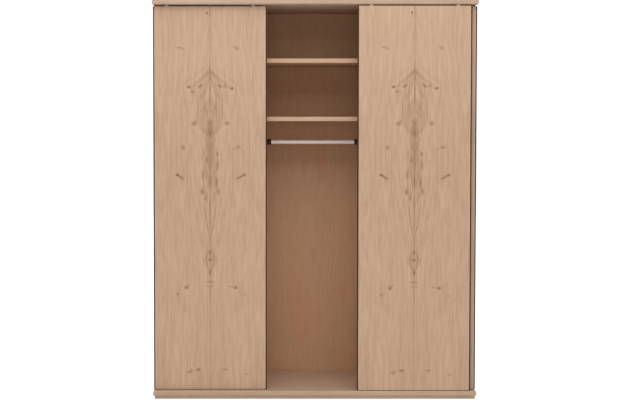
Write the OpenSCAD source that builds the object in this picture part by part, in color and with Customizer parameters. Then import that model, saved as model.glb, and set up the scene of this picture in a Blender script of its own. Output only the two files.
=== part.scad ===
// Three-door sliding wardrobe on two tracks, as separate boards, doors, running gear and fittings.
// Frame: X to the right, Y to the back, Z up. The origin is the middle of the footprint, on the floor.
// Two doors share the rear track and cover the outer bays; the middle door runs in front of them.

/* [Overall] */
// Width over the top and base boards
overall_w = 1812; // [1740:2:1920]
// Depth over the top and base boards
overall_d = 640; // [600:2:700]
// Height from the floor to the upper face of the top board
overall_h = 2232; // [2200:1:2400]

/* [Top, base and plinth] */
// Thickness of the top board
top_board_t = 28; // [25:1:34]
// Thickness of the base board
base_board_t = 27; // [25:1:34]
// Radius of the board edges that face the doors
board_inner_r = 8; // [2:0.5:10]
// Radius of the board edges that face away from the doors
board_outer_r = 3; // [1:0.5:6]
// Height of the plinth rails under the base board
plinth_h = 19; // [19:1:80]
// Thickness of the plinth rails
plinth_t = 18; // [16:1:22]
// How far the plinth stands back from the edge of the base board
plinth_inset = 8; // [2:1:20]

/* [Carcass] */
// Thickness of the side panels and partitions
panel_t = 18; // [18:1:22]
// How far the top and base boards stand past the side panels
board_overhang = 6; // [3:1:12]
// Depth of the door space in front of the side panels
door_space_d = 75; // [70:1:90]
// Thickness of the back panels
back_t = 4; // [3:0.5:6]
// Depth of the rebate, measured along Z, that holds the back panels in the top and base boards
back_lap = 10; // [8:1:14]
// Distance of the fold line in the middle back panel from the centre
back_fold_x = 156; // [60:1:240]

/* [Interior] */
// Thickness of the shelves
shelf_t = 24; // [16:1:28]
// Set-back of the shelves from the front edges of the panels
shelf_setback = 35; // [10:1:80]
// Height of the underside of the upper shelves
upper_shelf_z = 1886; // [1850:1:1950]
// Height of the underside of the lower shelf in the middle bay
lower_shelf_z = 1558; // [1500:1:1700]
// Height of the hanging rail in the middle bay
centre_rail_z = 1437; // [1200:1:1460]
// Height of the hanging rails in the outer bays
side_rail_z = 1768; // [1600:1:1800]
// Radius of a hanging rail
rail_r = 12.5; // [8:0.5:13]
// Wall of a hanging rail
rail_wall = 1.2; // [0.8:0.1:2]
// Length of a rail bracket, out from the panel
bracket_l = 46; // [30:1:60]

/* [Doors] */
// How far a rear door overlaps the closed middle door
door_overlap = 49; // [30:1:60]
// Inset of the closed doors from the ends of the boards
door_end_inset = 2.5; // [1:0.5:5]
// Inset of the front door from the front edge of the boards
door_front_inset = 5; // [3:0.5:8]
// Distance between the two tracks
track_pitch = 34; // [33:0.5:36]
// Thickness of a door panel
door_panel_t = 19; // [19:0.5:20]
// Wall of an edge profile
profile_wall = 1.5; // [1:0.1:2]
// Width of an edge profile on the face of the door
profile_lip = 7; // [5:0.5:12]
// Gap under the doors
door_bottom_gap = 4; // [3:0.5:6]
// Gap over the doors
door_top_gap = 7; // [4:0.5:8]
// How far the front door rests from its right-hand stop
front_door_rest = 32.5; // [1:0.5:200]

/* [Running gear] */
// Radius of a door wheel
wheel_r = 11; // [10:0.5:13]
// Width of a door wheel
wheel_w = 6; // [5:0.5:6]
// Radius of a wheel axle
axle_r = 2.5; // [2:0.5:3]
// Distance of the wheels and guides from the edge of the door
gear_inset = 76; // [60:1:120]
// Length of a top guide's tongue, along the track
guide_l = 18; // [14:1:24]

/* [Hidden] */
$fn = 48;

LEFT = -1;
RIGHT = 1;
past = 1;            // how far a cutting tool runs past the face it starts from
slack = 0.05;        // play between a fastener and its hole
play = 0.5;          // play between a part and the stop or the panels beside it

// Heights
base_top_z = plinth_h + base_board_t;
top_under_z = overall_h - top_board_t;
door_bottom_z = base_top_z + door_bottom_gap;
door_top_z = top_under_z - door_top_gap;

// Depths
front_y = -overall_d / 2;
back_y = overall_d / 2;
side_front_y = front_y + door_space_d;
back_panel_y = back_y - back_t;
profile_t = door_panel_t + 2 * profile_wall;
front_track_y = front_y + door_front_inset + profile_t / 2;
rear_track_y = front_track_y + track_pitch;

// Widths: the two partitions make three equal bays
side_face_x = overall_w / 2 - board_overhang;
side_inner_x = side_face_x - panel_t;
bay_w = (2 * side_inner_x - 2 * panel_t) / 3;
partition_x = (bay_w + panel_t) / 2;
side_bay_x = (partition_x + panel_t / 2 + side_inner_x) / 2;
door_span = overall_w - 2 * door_end_inset;
door_w = (door_span + 2 * door_overlap) / 3;
home_x = (door_span - door_w) / 2;
front_door_x = home_x - front_door_rest;

// Track sections
channel_wall = 1.5;
channel_inner_w = 11;
channel_w = channel_inner_w + 2 * channel_wall;
channel_h = 10;
strip_w = 20;
strip_t = 4;
groove_w = wheel_w + 1.4;
groove_d = 2;
track_half_l = overall_w / 2 - 30;
channel_top_z = top_under_z + channel_h;
channel_roof_z = channel_top_z - channel_wall;
groove_floor_z = base_top_z - groove_d;

// Plinth rails
plinth_x = overall_w / 2 - plinth_inset;
plinth_front_y = front_y + plinth_inset;
plinth_back_y = back_y - plinth_inset;

// Track stops, where a guide's tongue meets them at the end of the door's travel
stop_l = 20;
outer_stop_x = overall_w / 2 - door_end_inset - gear_inset + guide_l / 2 + play;
centre_stop_x = gear_inset - guide_l / 2 + play;

// Running gear
rolling_gap = 0.2;
bore_gap = 0.05;
axle_z = groove_floor_z + rolling_gap + wheel_r;
gear_x = door_w / 2 - gear_inset;
insert_w = 13;
flange_t = 2;
roller_flange_l = 70;
roller_body_l = 44;
wheel_slot_w = wheel_w + 1;
wheel_slot_l = 2 * wheel_r + 4;
wheel_slot_top = axle_z + wheel_r + 1.5;
roller_roof = 4;
guide_flange_l = 60;
guide_body_l = 30;
guide_body_h = 18;
guide_tongue_t = 10;
guide_tongue_h = door_top_gap + 6.5;
wheel_chamfer = 0.8;
wheel_dish_r1 = 4.5;
wheel_dish_r2 = 8.5;
wheel_dish_d = 0.8;

// Screw, 3.2 by 16 with a countersunk head
screw_r = 1.6;
screw_head_r = 3;
screw_head_h = 1.5;
screw_l = 16;
track_screw_pitch = 400;
track_screw_count = 2;    // on each side of the middle one
roller_screw_x = 28.5;
guide_screw_x = 22.5;

// Nail for the back panels
nail_r = 0.9;
nail_head_r = 3;
nail_head_h = 0.8;
nail_l = 18;
nail_rows = 5;
nail_end_gap = 70;
nail_edge = 4.5;
nail_row_x = 150;

// Dowel, 8 by 25
dowel_r = 4;
dowel_in_board = 12;
dowel_in_panel = 13;
plinth_dowel_pitch = 480;    // along the front and back rails, clear of the track screws
plinth_dowel_y = 140;        // on the short rails, in front of and behind the middle

// Cam lock with its bolt
cam_r = 7.5;
cam_h = 12.5;
cam_reach = 34;
cam_slot_w = 8;
cam_skin = 4.5;
bolt_thread_r = 2.5;
bolt_thread_l = 11;
bolt_shank_r = 2;
bolt_head_r = 3;
bolt_head_h = 3;
bolt_head_end = 31;
bolt_hole_r = 4;
drive_l = 9;
drive_w = 1.4;
drive_d = 1.5;

// Shelf pins
pin_r = 2.5;
pin_l = 16;
pin_inset = 45;

// Rail bracket
bracket_r = 15.5;
bracket_flange_r = 24;
bracket_flange_t = 4;
bracket_end = 6;
bracket_screw_z = 19;
rail_y = (side_front_y + back_panel_y) / 2;

// Fold line in the middle back panel
fold_w = 1.6;
fold_d = 1;

// Where the fasteners of the upright panels sit, from front to back
dowel_ys = [side_front_y + 50, back_panel_y - 50];
cam_ys = [side_front_y + 120, back_panel_y - 120];
shelf_front_y = side_front_y + shelf_setback;
shelf_back_y = back_panel_y - play;
pin_ys = [shelf_front_y + pin_inset, shelf_back_y - pin_inset];
upright_xs = [-side_face_x + panel_t / 2, -partition_x, partition_x, side_face_x - panel_t / 2];
nail_zs = [for (i = [0 : nail_rows - 1])
  base_top_z + nail_end_gap + i * (top_under_z - base_top_z - 2 * nail_end_gap) / (nail_rows - 1)];
back_edges = [-side_face_x, -partition_x, partition_x, side_face_x];

// Shelf and rail places: x of the bay's middle and height
shelf_places = [
  [0, upper_shelf_z], [0, lower_shelf_z], [-side_bay_x, upper_shelf_z], [side_bay_x, upper_shelf_z]
];
rail_places = [[0, centre_rail_z], [-side_bay_x, side_rail_z], [side_bay_x, side_rail_z]];

OAK = "#c3a184";
OAK_EDGE = "#ba9880";
INSIDE = "#8c6952";
BACK = "#7d5f49";
BRONZE = "#3c2b20";
ALUMINIUM = "#c4a890";
STEEL = "#d4c9c4";
BLACK = "#1a1716";
NYLON = "#cfc6b8";
BEECH = "#d9b98a";
ZINC = "#a8a6a0";
RUBBER = "#2b2b2b";

// ---- Shapes that repeat ----

// A box from its lowest corner to its highest corner
module span(low, high) {
  translate(low) cube(high - low);
}

// The corner of a section that a round of radius r takes away, at the origin
module corner_waste(r) {
  difference() {
    translate([-past, -past]) square(r + past);
    translate([r, r]) circle(r);
  }
}

// Section of a board whose first end is rounded, and its last end too when both is true
module board_section(length, thickness, r_low, r_high, both) {
  difference() {
    square([length, thickness]);
    corner_waste(r_low);
    translate([0, thickness]) mirror([0, 1]) corner_waste(r_high);
    if (both) translate([length, 0]) mirror([1, 0]) corner_waste(r_low);
    if (both) translate([length, thickness]) mirror([1, 0]) mirror([0, 1]) corner_waste(r_high);
  }
}

// A board with rounded front and end edges, its underside at z
module rounded_board(z, thickness, r_low, r_high) {
  intersection() {
    translate([-overall_w / 2, front_y, z]) rotate([90, 0, 90])
      linear_extrude(overall_w) board_section(overall_d, thickness, r_low, r_high, false);
    translate([-overall_w / 2, back_y, z]) rotate([90, 0, 0])
      linear_extrude(overall_d) board_section(overall_w, thickness, r_low, r_high, true);
  }
}

// A screw with its head's face at the origin, pointing down; grow adds the play of its hole
module screw(grow = 0) {
  translate([0, 0, -screw_head_h]) cylinder(h = screw_head_h + (grow > 0 ? slack : 0),
    r1 = screw_r + grow, r2 = screw_head_r + grow);
  translate([0, 0, -screw_l - grow]) cylinder(h = screw_l - screw_head_h + grow, r = screw_r + grow);
}

// A nail with its head's face at the origin, pointing to the front
module nail(grow = 0) {
  rotate([90, 0, 0]) {
    translate([0, 0, grow > 0 ? -past : 0]) cylinder(
      h = nail_head_h + (grow > 0 ? past : 0), r = nail_head_r + grow);
    translate([0, 0, nail_head_h]) cylinder(h = nail_l - nail_head_h + grow, r = nail_r + grow);
  }
}

// ---- Where the fasteners go ----

module at_track_screws(y, z) {
  for (i = [-track_screw_count : track_screw_count]) {
    translate([i * track_screw_pitch, y, z]) children();
  }
}

// The screws of all rail brackets, each pointing out of its bay
module at_bracket_screws() {
  for (place = rail_places, side = [LEFT, RIGHT], dz = [-bracket_screw_z, bracket_screw_z]) {
    translate([place[0] + side * (bay_w / 2 - bracket_flange_t), rail_y, place[1] + dz])
      rotate([0, -side * 90, 0]) children();
  }
}

module at_nails() {
  for (i = [0 : 2]) {
    low = back_edges[i] + (i == 0 ? panel_t / 2 : nail_edge);
    high = back_edges[i + 1] - (i == 2 ? panel_t / 2 : nail_edge);
    for (x = [low, high], z = nail_zs) translate([x, back_y, z]) children();
    middle = (low + high) / 2;
    for (x = [middle - nail_row_x, middle + nail_row_x],
         z = [base_top_z - back_lap / 2, top_under_z + back_lap / 2]) {
      translate([x, back_y, z]) children();
    }
  }
}

module at_shelf_pins() {
  for (place = shelf_places, side = [LEFT, RIGHT], y = pin_ys) {
    translate([place[0] + side * bay_w / 2, y, place[1] - pin_r]) rotate([0, 90, 0])
      translate([0, 0, -pin_l / 2]) children();
  }
}

// The joints between the uprights and the boards, each turned so that +Z runs into the upright
module at_upright_ends(ys) {
  for (x = upright_xs, y = ys) {
    translate([x, y, base_top_z]) children();
    translate([x, y, top_under_z]) mirror([0, 0, 1]) children();
  }
}

// The joints between the plinth rails and the base board
module at_plinth_dowels() {
  short_rail_xs = [plinth_t / 2 - plinth_x, -partition_x, partition_x, plinth_x - plinth_t / 2];
  for (i = [-1.5 : 1.5], y = [plinth_front_y + plinth_t / 2, plinth_back_y - plinth_t / 2]) {
    translate([i * plinth_dowel_pitch, y, plinth_h]) children();
  }
  for (x = short_rail_xs, y = [-plinth_dowel_y, plinth_dowel_y]) {
    translate([x, y, plinth_h]) children();
  }
}

// Which way a cam lock faces on an upright: the sides face in, the partitions face the outer bays
function cam_side(x) = abs(x) > partition_x + panel_t ? -sign(x) : sign(x);

module at_cams() {
  for (x = upright_xs, y = cam_ys, end = [0, 1]) {
    z = end == 0 ? base_top_z + cam_reach : top_under_z - cam_reach;
    translate([x + cam_side(x) * panel_t / 2, y, z]) mirror([0, 0, end])
      rotate([0, -cam_side(x) * 90, 0]) children();
  }
}

module dowel(grow = 0) {
  translate([0, 0, -dowel_in_board - grow]) cylinder(
    h = dowel_in_board + dowel_in_panel + 2 * grow, r = dowel_r + grow);
}

// A cam bolt: thread in the board, shank and head in the upright
module cam_bolt() {
  translate([0, 0, -bolt_thread_l]) cylinder(h = bolt_thread_l, r = bolt_thread_r);
  cylinder(h = bolt_head_end, r = bolt_shank_r);
  translate([0, 0, bolt_head_end - bolt_head_h]) cylinder(h = bolt_head_h, r = bolt_head_r);
}

// A cam lock with its outer face at the origin, its body along +Z and its bolt slot towards -X or +X
module cam_lock() {
  difference() {
    cylinder(h = cam_h, r = cam_r);
    span([-cam_r - past, -cam_slot_w / 2, cam_skin], [cam_r + past, cam_slot_w / 2, cam_h + past]);
    span([-drive_l / 2, -drive_w / 2, -past], [drive_l / 2, drive_w / 2, drive_d]);
    span([-drive_w / 2, -drive_l / 2, -past], [drive_w / 2, drive_l / 2, drive_d]);
  }
}

// ---- Carcass ----

module top_board() {
  color(OAK_EDGE) difference() {
    rounded_board(top_under_z, top_board_t, board_inner_r, board_outer_r);
    for (y = [front_track_y, rear_track_y]) {
      span([-track_half_l, y - channel_w / 2, top_under_z - past],
           [track_half_l, y + channel_w / 2, channel_top_z]);
      at_track_screws(y, channel_roof_z) mirror([0, 0, 1]) screw(slack);
    }
    span([-side_face_x, back_panel_y, top_under_z - past],
         [side_face_x, back_y + past, top_under_z + back_lap]);
    at_upright_ends(dowel_ys) dowel(slack);
    at_upright_ends(cam_ys) bolt_pilot();
    at_nails() nail(slack);
  }
}

module base_board() {
  color(OAK_EDGE) difference() {
    rounded_board(plinth_h, base_board_t, board_outer_r, board_inner_r);
    for (y = [front_track_y, rear_track_y]) {
      span([-track_half_l, y - strip_w / 2, base_top_z - strip_t],
           [track_half_l, y + strip_w / 2, base_top_z + past]);
      at_track_screws(y, groove_floor_z) screw(slack);
    }
    span([-side_face_x, back_panel_y, base_top_z - back_lap],
         [side_face_x, back_y + past, base_top_z + past]);
    at_upright_ends(dowel_ys) dowel(slack);
    at_upright_ends(cam_ys) bolt_pilot();
    at_plinth_dowels() mirror([0, 0, 1]) dowel(slack);
    at_nails() nail(slack);
  }
}

// The threaded hole of a cam bolt in a board
module bolt_pilot() {
  translate([0, 0, -bolt_thread_l - slack])
    cylinder(h = bolt_thread_l + slack + past, r = bolt_thread_r + slack);
}

// A plinth rail over a footprint, with its dowel holes
module plinth_rail(low, high) {
  color(OAK_EDGE) difference() {
    span([low[0], low[1], 0], [high[0], high[1], plinth_h]);
    at_plinth_dowels() mirror([0, 0, 1]) dowel(slack);
  }
}

module front_plinth_rail() {
  plinth_rail([-plinth_x, plinth_front_y], [plinth_x, plinth_front_y + plinth_t]);
}

module back_plinth_rail() {
  plinth_rail([-plinth_x, plinth_back_y - plinth_t], [plinth_x, plinth_back_y]);
}

// A rail from the front rail to the back rail, with its middle at x
module short_plinth_rail(x) {
  plinth_rail([x - plinth_t / 2, plinth_front_y + plinth_t],
              [x + plinth_t / 2, plinth_back_y - plinth_t]);
}

module cross_plinth_rails() {
  for (side = [LEFT, RIGHT]) short_plinth_rail(side * partition_x);
}

// A side panel or partition with its middle at x, drilled for everything that is fixed to it
module upright(x, tone) {
  color(tone) difference() {
    span([x - panel_t / 2, side_front_y, base_top_z], [x + panel_t / 2, back_panel_y, top_under_z]);
    at_upright_ends(dowel_ys) dowel(slack);
    at_upright_ends(cam_ys) translate([0, 0, -past]) cylinder(h = cam_reach + past, r = bolt_hole_r);
    at_cams() translate([0, 0, -past]) cylinder(h = cam_h + past + slack, r = cam_r + slack);
    at_shelf_pins() translate([0, 0, -slack]) cylinder(h = pin_l + 2 * slack, r = pin_r + slack);
    at_bracket_screws() screw(slack);
    at_nails() nail(slack);
  }
}

// A back panel between two of the edges in back_edges
module back_panel(i) {
  color(BACK) difference() {
    span([back_edges[i], back_panel_y, base_top_z - back_lap],
         [back_edges[i + 1], back_y, top_under_z + back_lap]);
    at_nails() nail(slack);
    if (i == 1) span([-back_fold_x - fold_w / 2, back_panel_y - past, base_top_z],
                     [-back_fold_x + fold_w / 2, back_panel_y + fold_d, top_under_z]);
  }
}

module back_nails() {
  color(ZINC) at_nails() nail();
}

module dowels() {
  color(BEECH) {
    at_upright_ends(dowel_ys) dowel();
    at_plinth_dowels() mirror([0, 0, 1]) dowel();
  }
}

module cam_bolts() {
  color(ZINC) at_upright_ends(cam_ys) cam_bolt();
}

module cam_locks() {
  color(ZINC) at_cams() cam_lock();
}

// ---- Tracks ----

// A channel that hangs open side down in the top board, for the doors' guides
module top_track(y) {
  color(ALUMINIUM) difference() {
    span([-track_half_l, y - channel_w / 2, top_under_z],
         [track_half_l, y + channel_w / 2, channel_top_z]);
    span([-track_half_l - past, y - channel_inner_w / 2, top_under_z - past],
         [track_half_l + past, y + channel_inner_w / 2, channel_roof_z]);
    at_track_screws(y, channel_roof_z) mirror([0, 0, 1]) screw(slack);
  }
}

// A grooved strip let into the base board, for the doors' wheels
module bottom_track(y) {
  color(ALUMINIUM) difference() {
    span([-track_half_l, y - strip_w / 2, base_top_z - strip_t],
         [track_half_l, y + strip_w / 2, base_top_z]);
    span([-track_half_l - past, y - groove_w / 2, groove_floor_z],
         [track_half_l + past, y + groove_w / 2, base_top_z + past]);
    at_track_screws(y, groove_floor_z) screw(slack);
  }
}

// One stop block in a top track, from x outwards in the direction of side
module track_stop(x, side, y) {
  near = side * x;
  far = side * (x + stop_l);
  span([min(near, far), y - channel_inner_w / 2, top_under_z + play],
       [max(near, far), y + channel_inner_w / 2, channel_roof_z]);
}

module track_stops() {
  color(RUBBER) for (side = [LEFT, RIGHT]) {
    track_stop(outer_stop_x, side, front_track_y);
    track_stop(outer_stop_x, side, rear_track_y);
    track_stop(centre_stop_x - stop_l, side, rear_track_y);
  }
}

module fixing_screws() {
  color(ZINC) {
    for (y = [front_track_y, rear_track_y]) {
      at_track_screws(y, channel_roof_z) mirror([0, 0, 1]) screw();
      at_track_screws(y, groove_floor_z) screw();
    }
    at_bracket_screws() screw();
  }
}

// ---- Interior ----

module shelf(place) {
  color(INSIDE) span([place[0] - bay_w / 2 + play, shelf_front_y, place[1]],
                     [place[0] + bay_w / 2 - play, shelf_back_y, place[1] + shelf_t]);
}

module shelf_pins() {
  color(ZINC) at_shelf_pins() cylinder(h = pin_l, r = pin_r);
}

module hanging_rail(place) {
  rail_l = bay_w - 2 * bracket_end;
  color(STEEL) translate([place[0], rail_y, place[1]]) rotate([0, 90, 0]) difference() {
    translate([0, 0, -rail_l / 2]) cylinder(h = rail_l, r = rail_r);
    translate([0, 0, -rail_l / 2 - past]) cylinder(h = rail_l + 2 * past, r = rail_r - rail_wall);
  }
}

// A cup for the end of a hanging rail, with its flange on the panel and its mouth along +Z
module rail_bracket() {
  difference() {
    union() {
      cylinder(h = bracket_flange_t, r = bracket_flange_r);
      cylinder(h = bracket_l, r = bracket_r);
    }
    translate([0, 0, bracket_end]) cylinder(h = bracket_l, r = rail_r + slack);
    for (dx = [-bracket_screw_z, bracket_screw_z]) translate([dx, 0, bracket_flange_t]) screw(slack);
  }
}

module rail_brackets() {
  color(BLACK) for (place = rail_places, side = [LEFT, RIGHT]) {
    translate([place[0] + side * bay_w / 2, rail_y, place[1]])
      rotate([0, -side * 90, 0]) rail_bracket();
  }
}

// ---- Doors: x is the middle of the door and y the middle of its track ----

module at_gear(x) {
  for (side = [LEFT, RIGHT]) translate([x + side * gear_x, 0, 0]) children();
}

module at_roller_screws(x, y) {
  at_gear(x) for (dx = [-roller_screw_x, roller_screw_x]) {
    translate([dx, y, door_bottom_z]) mirror([0, 0, 1]) children();
  }
}

module at_guide_screws(x, y) {
  at_gear(x) for (dx = [-guide_screw_x, guide_screw_x]) translate([dx, y, door_top_z]) children();
}

module door_panel(x, y) {
  half_w = door_w / 2 - profile_wall;
  color(OAK) difference() {
    span([x - half_w, y - door_panel_t / 2, door_bottom_z],
         [x + half_w, y + door_panel_t / 2, door_top_z]);
    at_gear(x) {
      insert_space(roller_flange_l, y, door_bottom_z - past, door_bottom_z + flange_t);
      insert_space(roller_body_l, y, door_bottom_z - past, wheel_slot_top + roller_roof);
      insert_space(guide_flange_l, y, door_top_z - flange_t, door_top_z + past);
      insert_space(guide_body_l, y, door_top_z - flange_t - guide_body_h, door_top_z + past);
    }
    at_roller_screws(x, y) screw(slack);
    at_guide_screws(x, y) screw(slack);
  }
}

// A block of a given length in the thickness of the door
module insert_space(length, y, low_z, high_z) {
  span([-length / 2, y - insert_w / 2, low_z], [length / 2, y + insert_w / 2, high_z]);
}

// The edge profile on one side of a door: a channel that grips the panel's edge
module edge_profile(x, y, side) {
  outer = profile_t / 2;
  inner = door_panel_t / 2;
  bevel = 0.8;
  section = [
    [bevel, -outer], [profile_lip, -outer], [profile_lip, -inner], [profile_wall, -inner],
    [profile_wall, inner], [profile_lip, inner], [profile_lip, outer], [bevel, outer],
    [0, outer - bevel], [0, bevel - outer]
  ];
  color(BRONZE) translate([x + side * door_w / 2, y, door_bottom_z])
    mirror([side == RIGHT ? 1 : 0, 0, 0]) linear_extrude(door_top_z - door_bottom_z) polygon(section);
}

module top_guides(x, y) {
  color(NYLON) difference() {
    at_gear(x) {
      insert_space(guide_flange_l, y, door_top_z - flange_t, door_top_z);
      insert_space(guide_body_l, y, door_top_z - flange_t - guide_body_h, door_top_z);
      span([-guide_l / 2, y - guide_tongue_t / 2, door_top_z - flange_t],
           [guide_l / 2, y + guide_tongue_t / 2, door_top_z + guide_tongue_h]);
    }
    at_guide_screws(x, y) screw(slack);
  }
}

module roller_housings(x, y) {
  color(BLACK) difference() {
    at_gear(x) {
      insert_space(roller_flange_l, y, door_bottom_z, door_bottom_z + flange_t);
      insert_space(roller_body_l, y, door_bottom_z, wheel_slot_top + roller_roof);
    }
    at_gear(x) {
      span([-wheel_slot_l / 2, y - wheel_slot_w / 2, door_bottom_z - past],
           [wheel_slot_l / 2, y + wheel_slot_w / 2, wheel_slot_top]);
      translate([0, y + insert_w / 2 + past, axle_z]) rotate([90, 0, 0])
        cylinder(h = insert_w + 2 * past, r = axle_r);
    }
    at_roller_screws(x, y) screw(slack);
  }
}

module axles(x, y) {
  color(ZINC) at_gear(x) translate([0, y + insert_w / 2, axle_z]) rotate([90, 0, 0])
    cylinder(h = insert_w, r = axle_r);
}

module door_screws(x, y) {
  color(ZINC) {
    at_roller_screws(x, y) screw();
    at_guide_screws(x, y) screw();
  }
}

// A wheel on the axle at one side of a door, turned from its half section
module wheel(x, y, side) {
  half = wheel_w / 2;
  bore = axle_r + bore_gap;
  section = [
    [bore, -half], [wheel_dish_r1, -half], [wheel_dish_r1 + wheel_dish_d, wheel_dish_d - half],
    [wheel_dish_r2 - wheel_dish_d, wheel_dish_d - half], [wheel_dish_r2, -half],
    [wheel_r - wheel_chamfer, -half], [wheel_r, wheel_chamfer - half],
    [wheel_r, half - wheel_chamfer], [wheel_r - wheel_chamfer, half],
    [wheel_dish_r2, half], [wheel_dish_r2 - wheel_dish_d, half - wheel_dish_d],
    [wheel_dish_r1 + wheel_dish_d, half - wheel_dish_d], [wheel_dish_r1, half], [bore, half]
  ];
  color(NYLON) translate([x + side * gear_x, y, axle_z]) rotate([90, 0, 0])
    rotate_extrude() polygon(section);
}

// ---- The nodes ----

top_board();
base_board();
front_plinth_rail();
back_plinth_rail();
short_plinth_rail(-plinth_x + plinth_t / 2);  // left_plinth_rail
short_plinth_rail(plinth_x - plinth_t / 2);  // right_plinth_rail
cross_plinth_rails();
upright(upright_xs[0], OAK);  // left_side_panel
upright(upright_xs[3], OAK);  // right_side_panel
upright(upright_xs[1], INSIDE);  // left_partition
upright(upright_xs[2], INSIDE);  // right_partition
back_panel(0);  // left_back_panel
back_panel(1);  // centre_back_panel
back_panel(2);  // right_back_panel
back_nails();
top_track(front_track_y);  // front_top_track
top_track(rear_track_y);  // rear_top_track
bottom_track(front_track_y);  // front_bottom_track
bottom_track(rear_track_y);  // rear_bottom_track
track_stops();
fixing_screws();
shelf(shelf_places[0]);  // centre_upper_shelf
shelf(shelf_places[1]);  // centre_lower_shelf
shelf(shelf_places[2]);  // left_shelf
shelf(shelf_places[3]);  // right_shelf
shelf_pins();
hanging_rail(rail_places[0]);  // centre_hanging_rail
hanging_rail(rail_places[1]);  // left_hanging_rail
hanging_rail(rail_places[2]);  // right_hanging_rail
rail_brackets();
dowels();
cam_bolts();
cam_locks();
door_panel(-home_x, rear_track_y);  // left_door_panel
edge_profile(-home_x, rear_track_y, LEFT);  // left_door_left_profile
edge_profile(-home_x, rear_track_y, RIGHT);  // left_door_right_profile
top_guides(-home_x, rear_track_y);  // left_door_top_guides
roller_housings(-home_x, rear_track_y);  // left_door_roller_housings
axles(-home_x, rear_track_y);  // left_door_axles
door_screws(-home_x, rear_track_y);  // left_door_screws
wheel(-home_x, rear_track_y, LEFT);  // left_door_left_wheel
wheel(-home_x, rear_track_y, RIGHT);  // left_door_right_wheel
door_panel(front_door_x, front_track_y);  // middle_door_panel
edge_profile(front_door_x, front_track_y, LEFT);  // middle_door_left_profile
edge_profile(front_door_x, front_track_y, RIGHT);  // middle_door_right_profile
top_guides(front_door_x, front_track_y);  // middle_door_top_guides
roller_housings(front_door_x, front_track_y);  // middle_door_roller_housings
axles(front_door_x, front_track_y);  // middle_door_axles
door_screws(front_door_x, front_track_y);  // middle_door_screws
wheel(front_door_x, front_track_y, LEFT);  // middle_door_left_wheel
wheel(front_door_x, front_track_y, RIGHT);  // middle_door_right_wheel
door_panel(home_x, rear_track_y);  // right_door_panel
edge_profile(home_x, rear_track_y, LEFT);  // right_door_left_profile
edge_profile(home_x, rear_track_y, RIGHT);  // right_door_right_profile
top_guides(home_x, rear_track_y);  // right_door_top_guides
roller_housings(home_x, rear_track_y);  // right_door_roller_housings
axles(home_x, rear_track_y);  // right_door_axles
door_screws(home_x, rear_track_y);  // right_door_screws
wheel(home_x, rear_track_y, LEFT);  // right_door_left_wheel
wheel(home_x, rear_track_y, RIGHT);  // right_door_right_wheel
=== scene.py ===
"""Three-door sliding wardrobe in knotty oak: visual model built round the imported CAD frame.

The frame gives every place and size. This file adds the veneer sheets, edge profiles, rails, brackets
and wheels as surfaces worked out on grids, eases the edges of the boards, and dresses every piece.
Lengths are metres: +X right, +Y back, +Z up.
"""

import logging
import math
from dataclasses import dataclass
from enum import Enum

import bmesh
import bpy
import numpy as np
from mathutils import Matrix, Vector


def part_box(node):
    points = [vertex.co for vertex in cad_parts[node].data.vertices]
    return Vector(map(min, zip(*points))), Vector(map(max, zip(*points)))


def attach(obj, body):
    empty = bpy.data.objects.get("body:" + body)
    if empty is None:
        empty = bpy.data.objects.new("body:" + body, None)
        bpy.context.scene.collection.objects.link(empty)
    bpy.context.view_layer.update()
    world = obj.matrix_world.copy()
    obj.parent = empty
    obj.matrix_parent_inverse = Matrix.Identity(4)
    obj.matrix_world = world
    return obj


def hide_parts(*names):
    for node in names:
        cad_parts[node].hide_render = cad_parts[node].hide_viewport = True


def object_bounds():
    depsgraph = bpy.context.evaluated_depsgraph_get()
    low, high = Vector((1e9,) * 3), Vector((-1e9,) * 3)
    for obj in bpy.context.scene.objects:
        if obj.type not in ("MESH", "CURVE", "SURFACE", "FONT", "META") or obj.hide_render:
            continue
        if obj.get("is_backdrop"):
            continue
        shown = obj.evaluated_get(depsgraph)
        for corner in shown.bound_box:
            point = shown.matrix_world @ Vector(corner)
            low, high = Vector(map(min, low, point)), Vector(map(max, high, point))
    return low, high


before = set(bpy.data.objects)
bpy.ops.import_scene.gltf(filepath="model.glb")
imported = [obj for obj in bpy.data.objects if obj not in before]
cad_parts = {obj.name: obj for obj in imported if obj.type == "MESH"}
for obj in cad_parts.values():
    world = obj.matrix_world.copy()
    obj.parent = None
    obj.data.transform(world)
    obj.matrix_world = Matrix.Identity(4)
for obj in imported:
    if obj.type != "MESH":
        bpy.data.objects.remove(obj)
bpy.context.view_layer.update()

MM = 0.001
LOG = logging.getLogger("wardrobe")
Tree = bpy.types.NodeTree
Node = bpy.types.Node
Socket = bpy.types.NodeSocket
Material = bpy.types.Material
Object = bpy.types.Object


# ---------------------------------------------------------------- colours and node helpers


def tone(red: float, green: float, blue: float) -> tuple[float, float, float, float]:
    """Turns a display colour into the linear colour that shaders use.

    Args:
        red: Red from 0 to 255.
        green: Green from 0 to 255.
        blue: Blue from 0 to 255.

    Returns:
        Linear red, green and blue, and an alpha of one.
    """
    display = np.array([red, green, blue]) / 255.0
    linear = np.where(display <= 0.04045, display / 12.92, ((display + 0.055) / 1.055) ** 2.4)
    return (float(linear[0]), float(linear[1]), float(linear[2]), 1.0)


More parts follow.
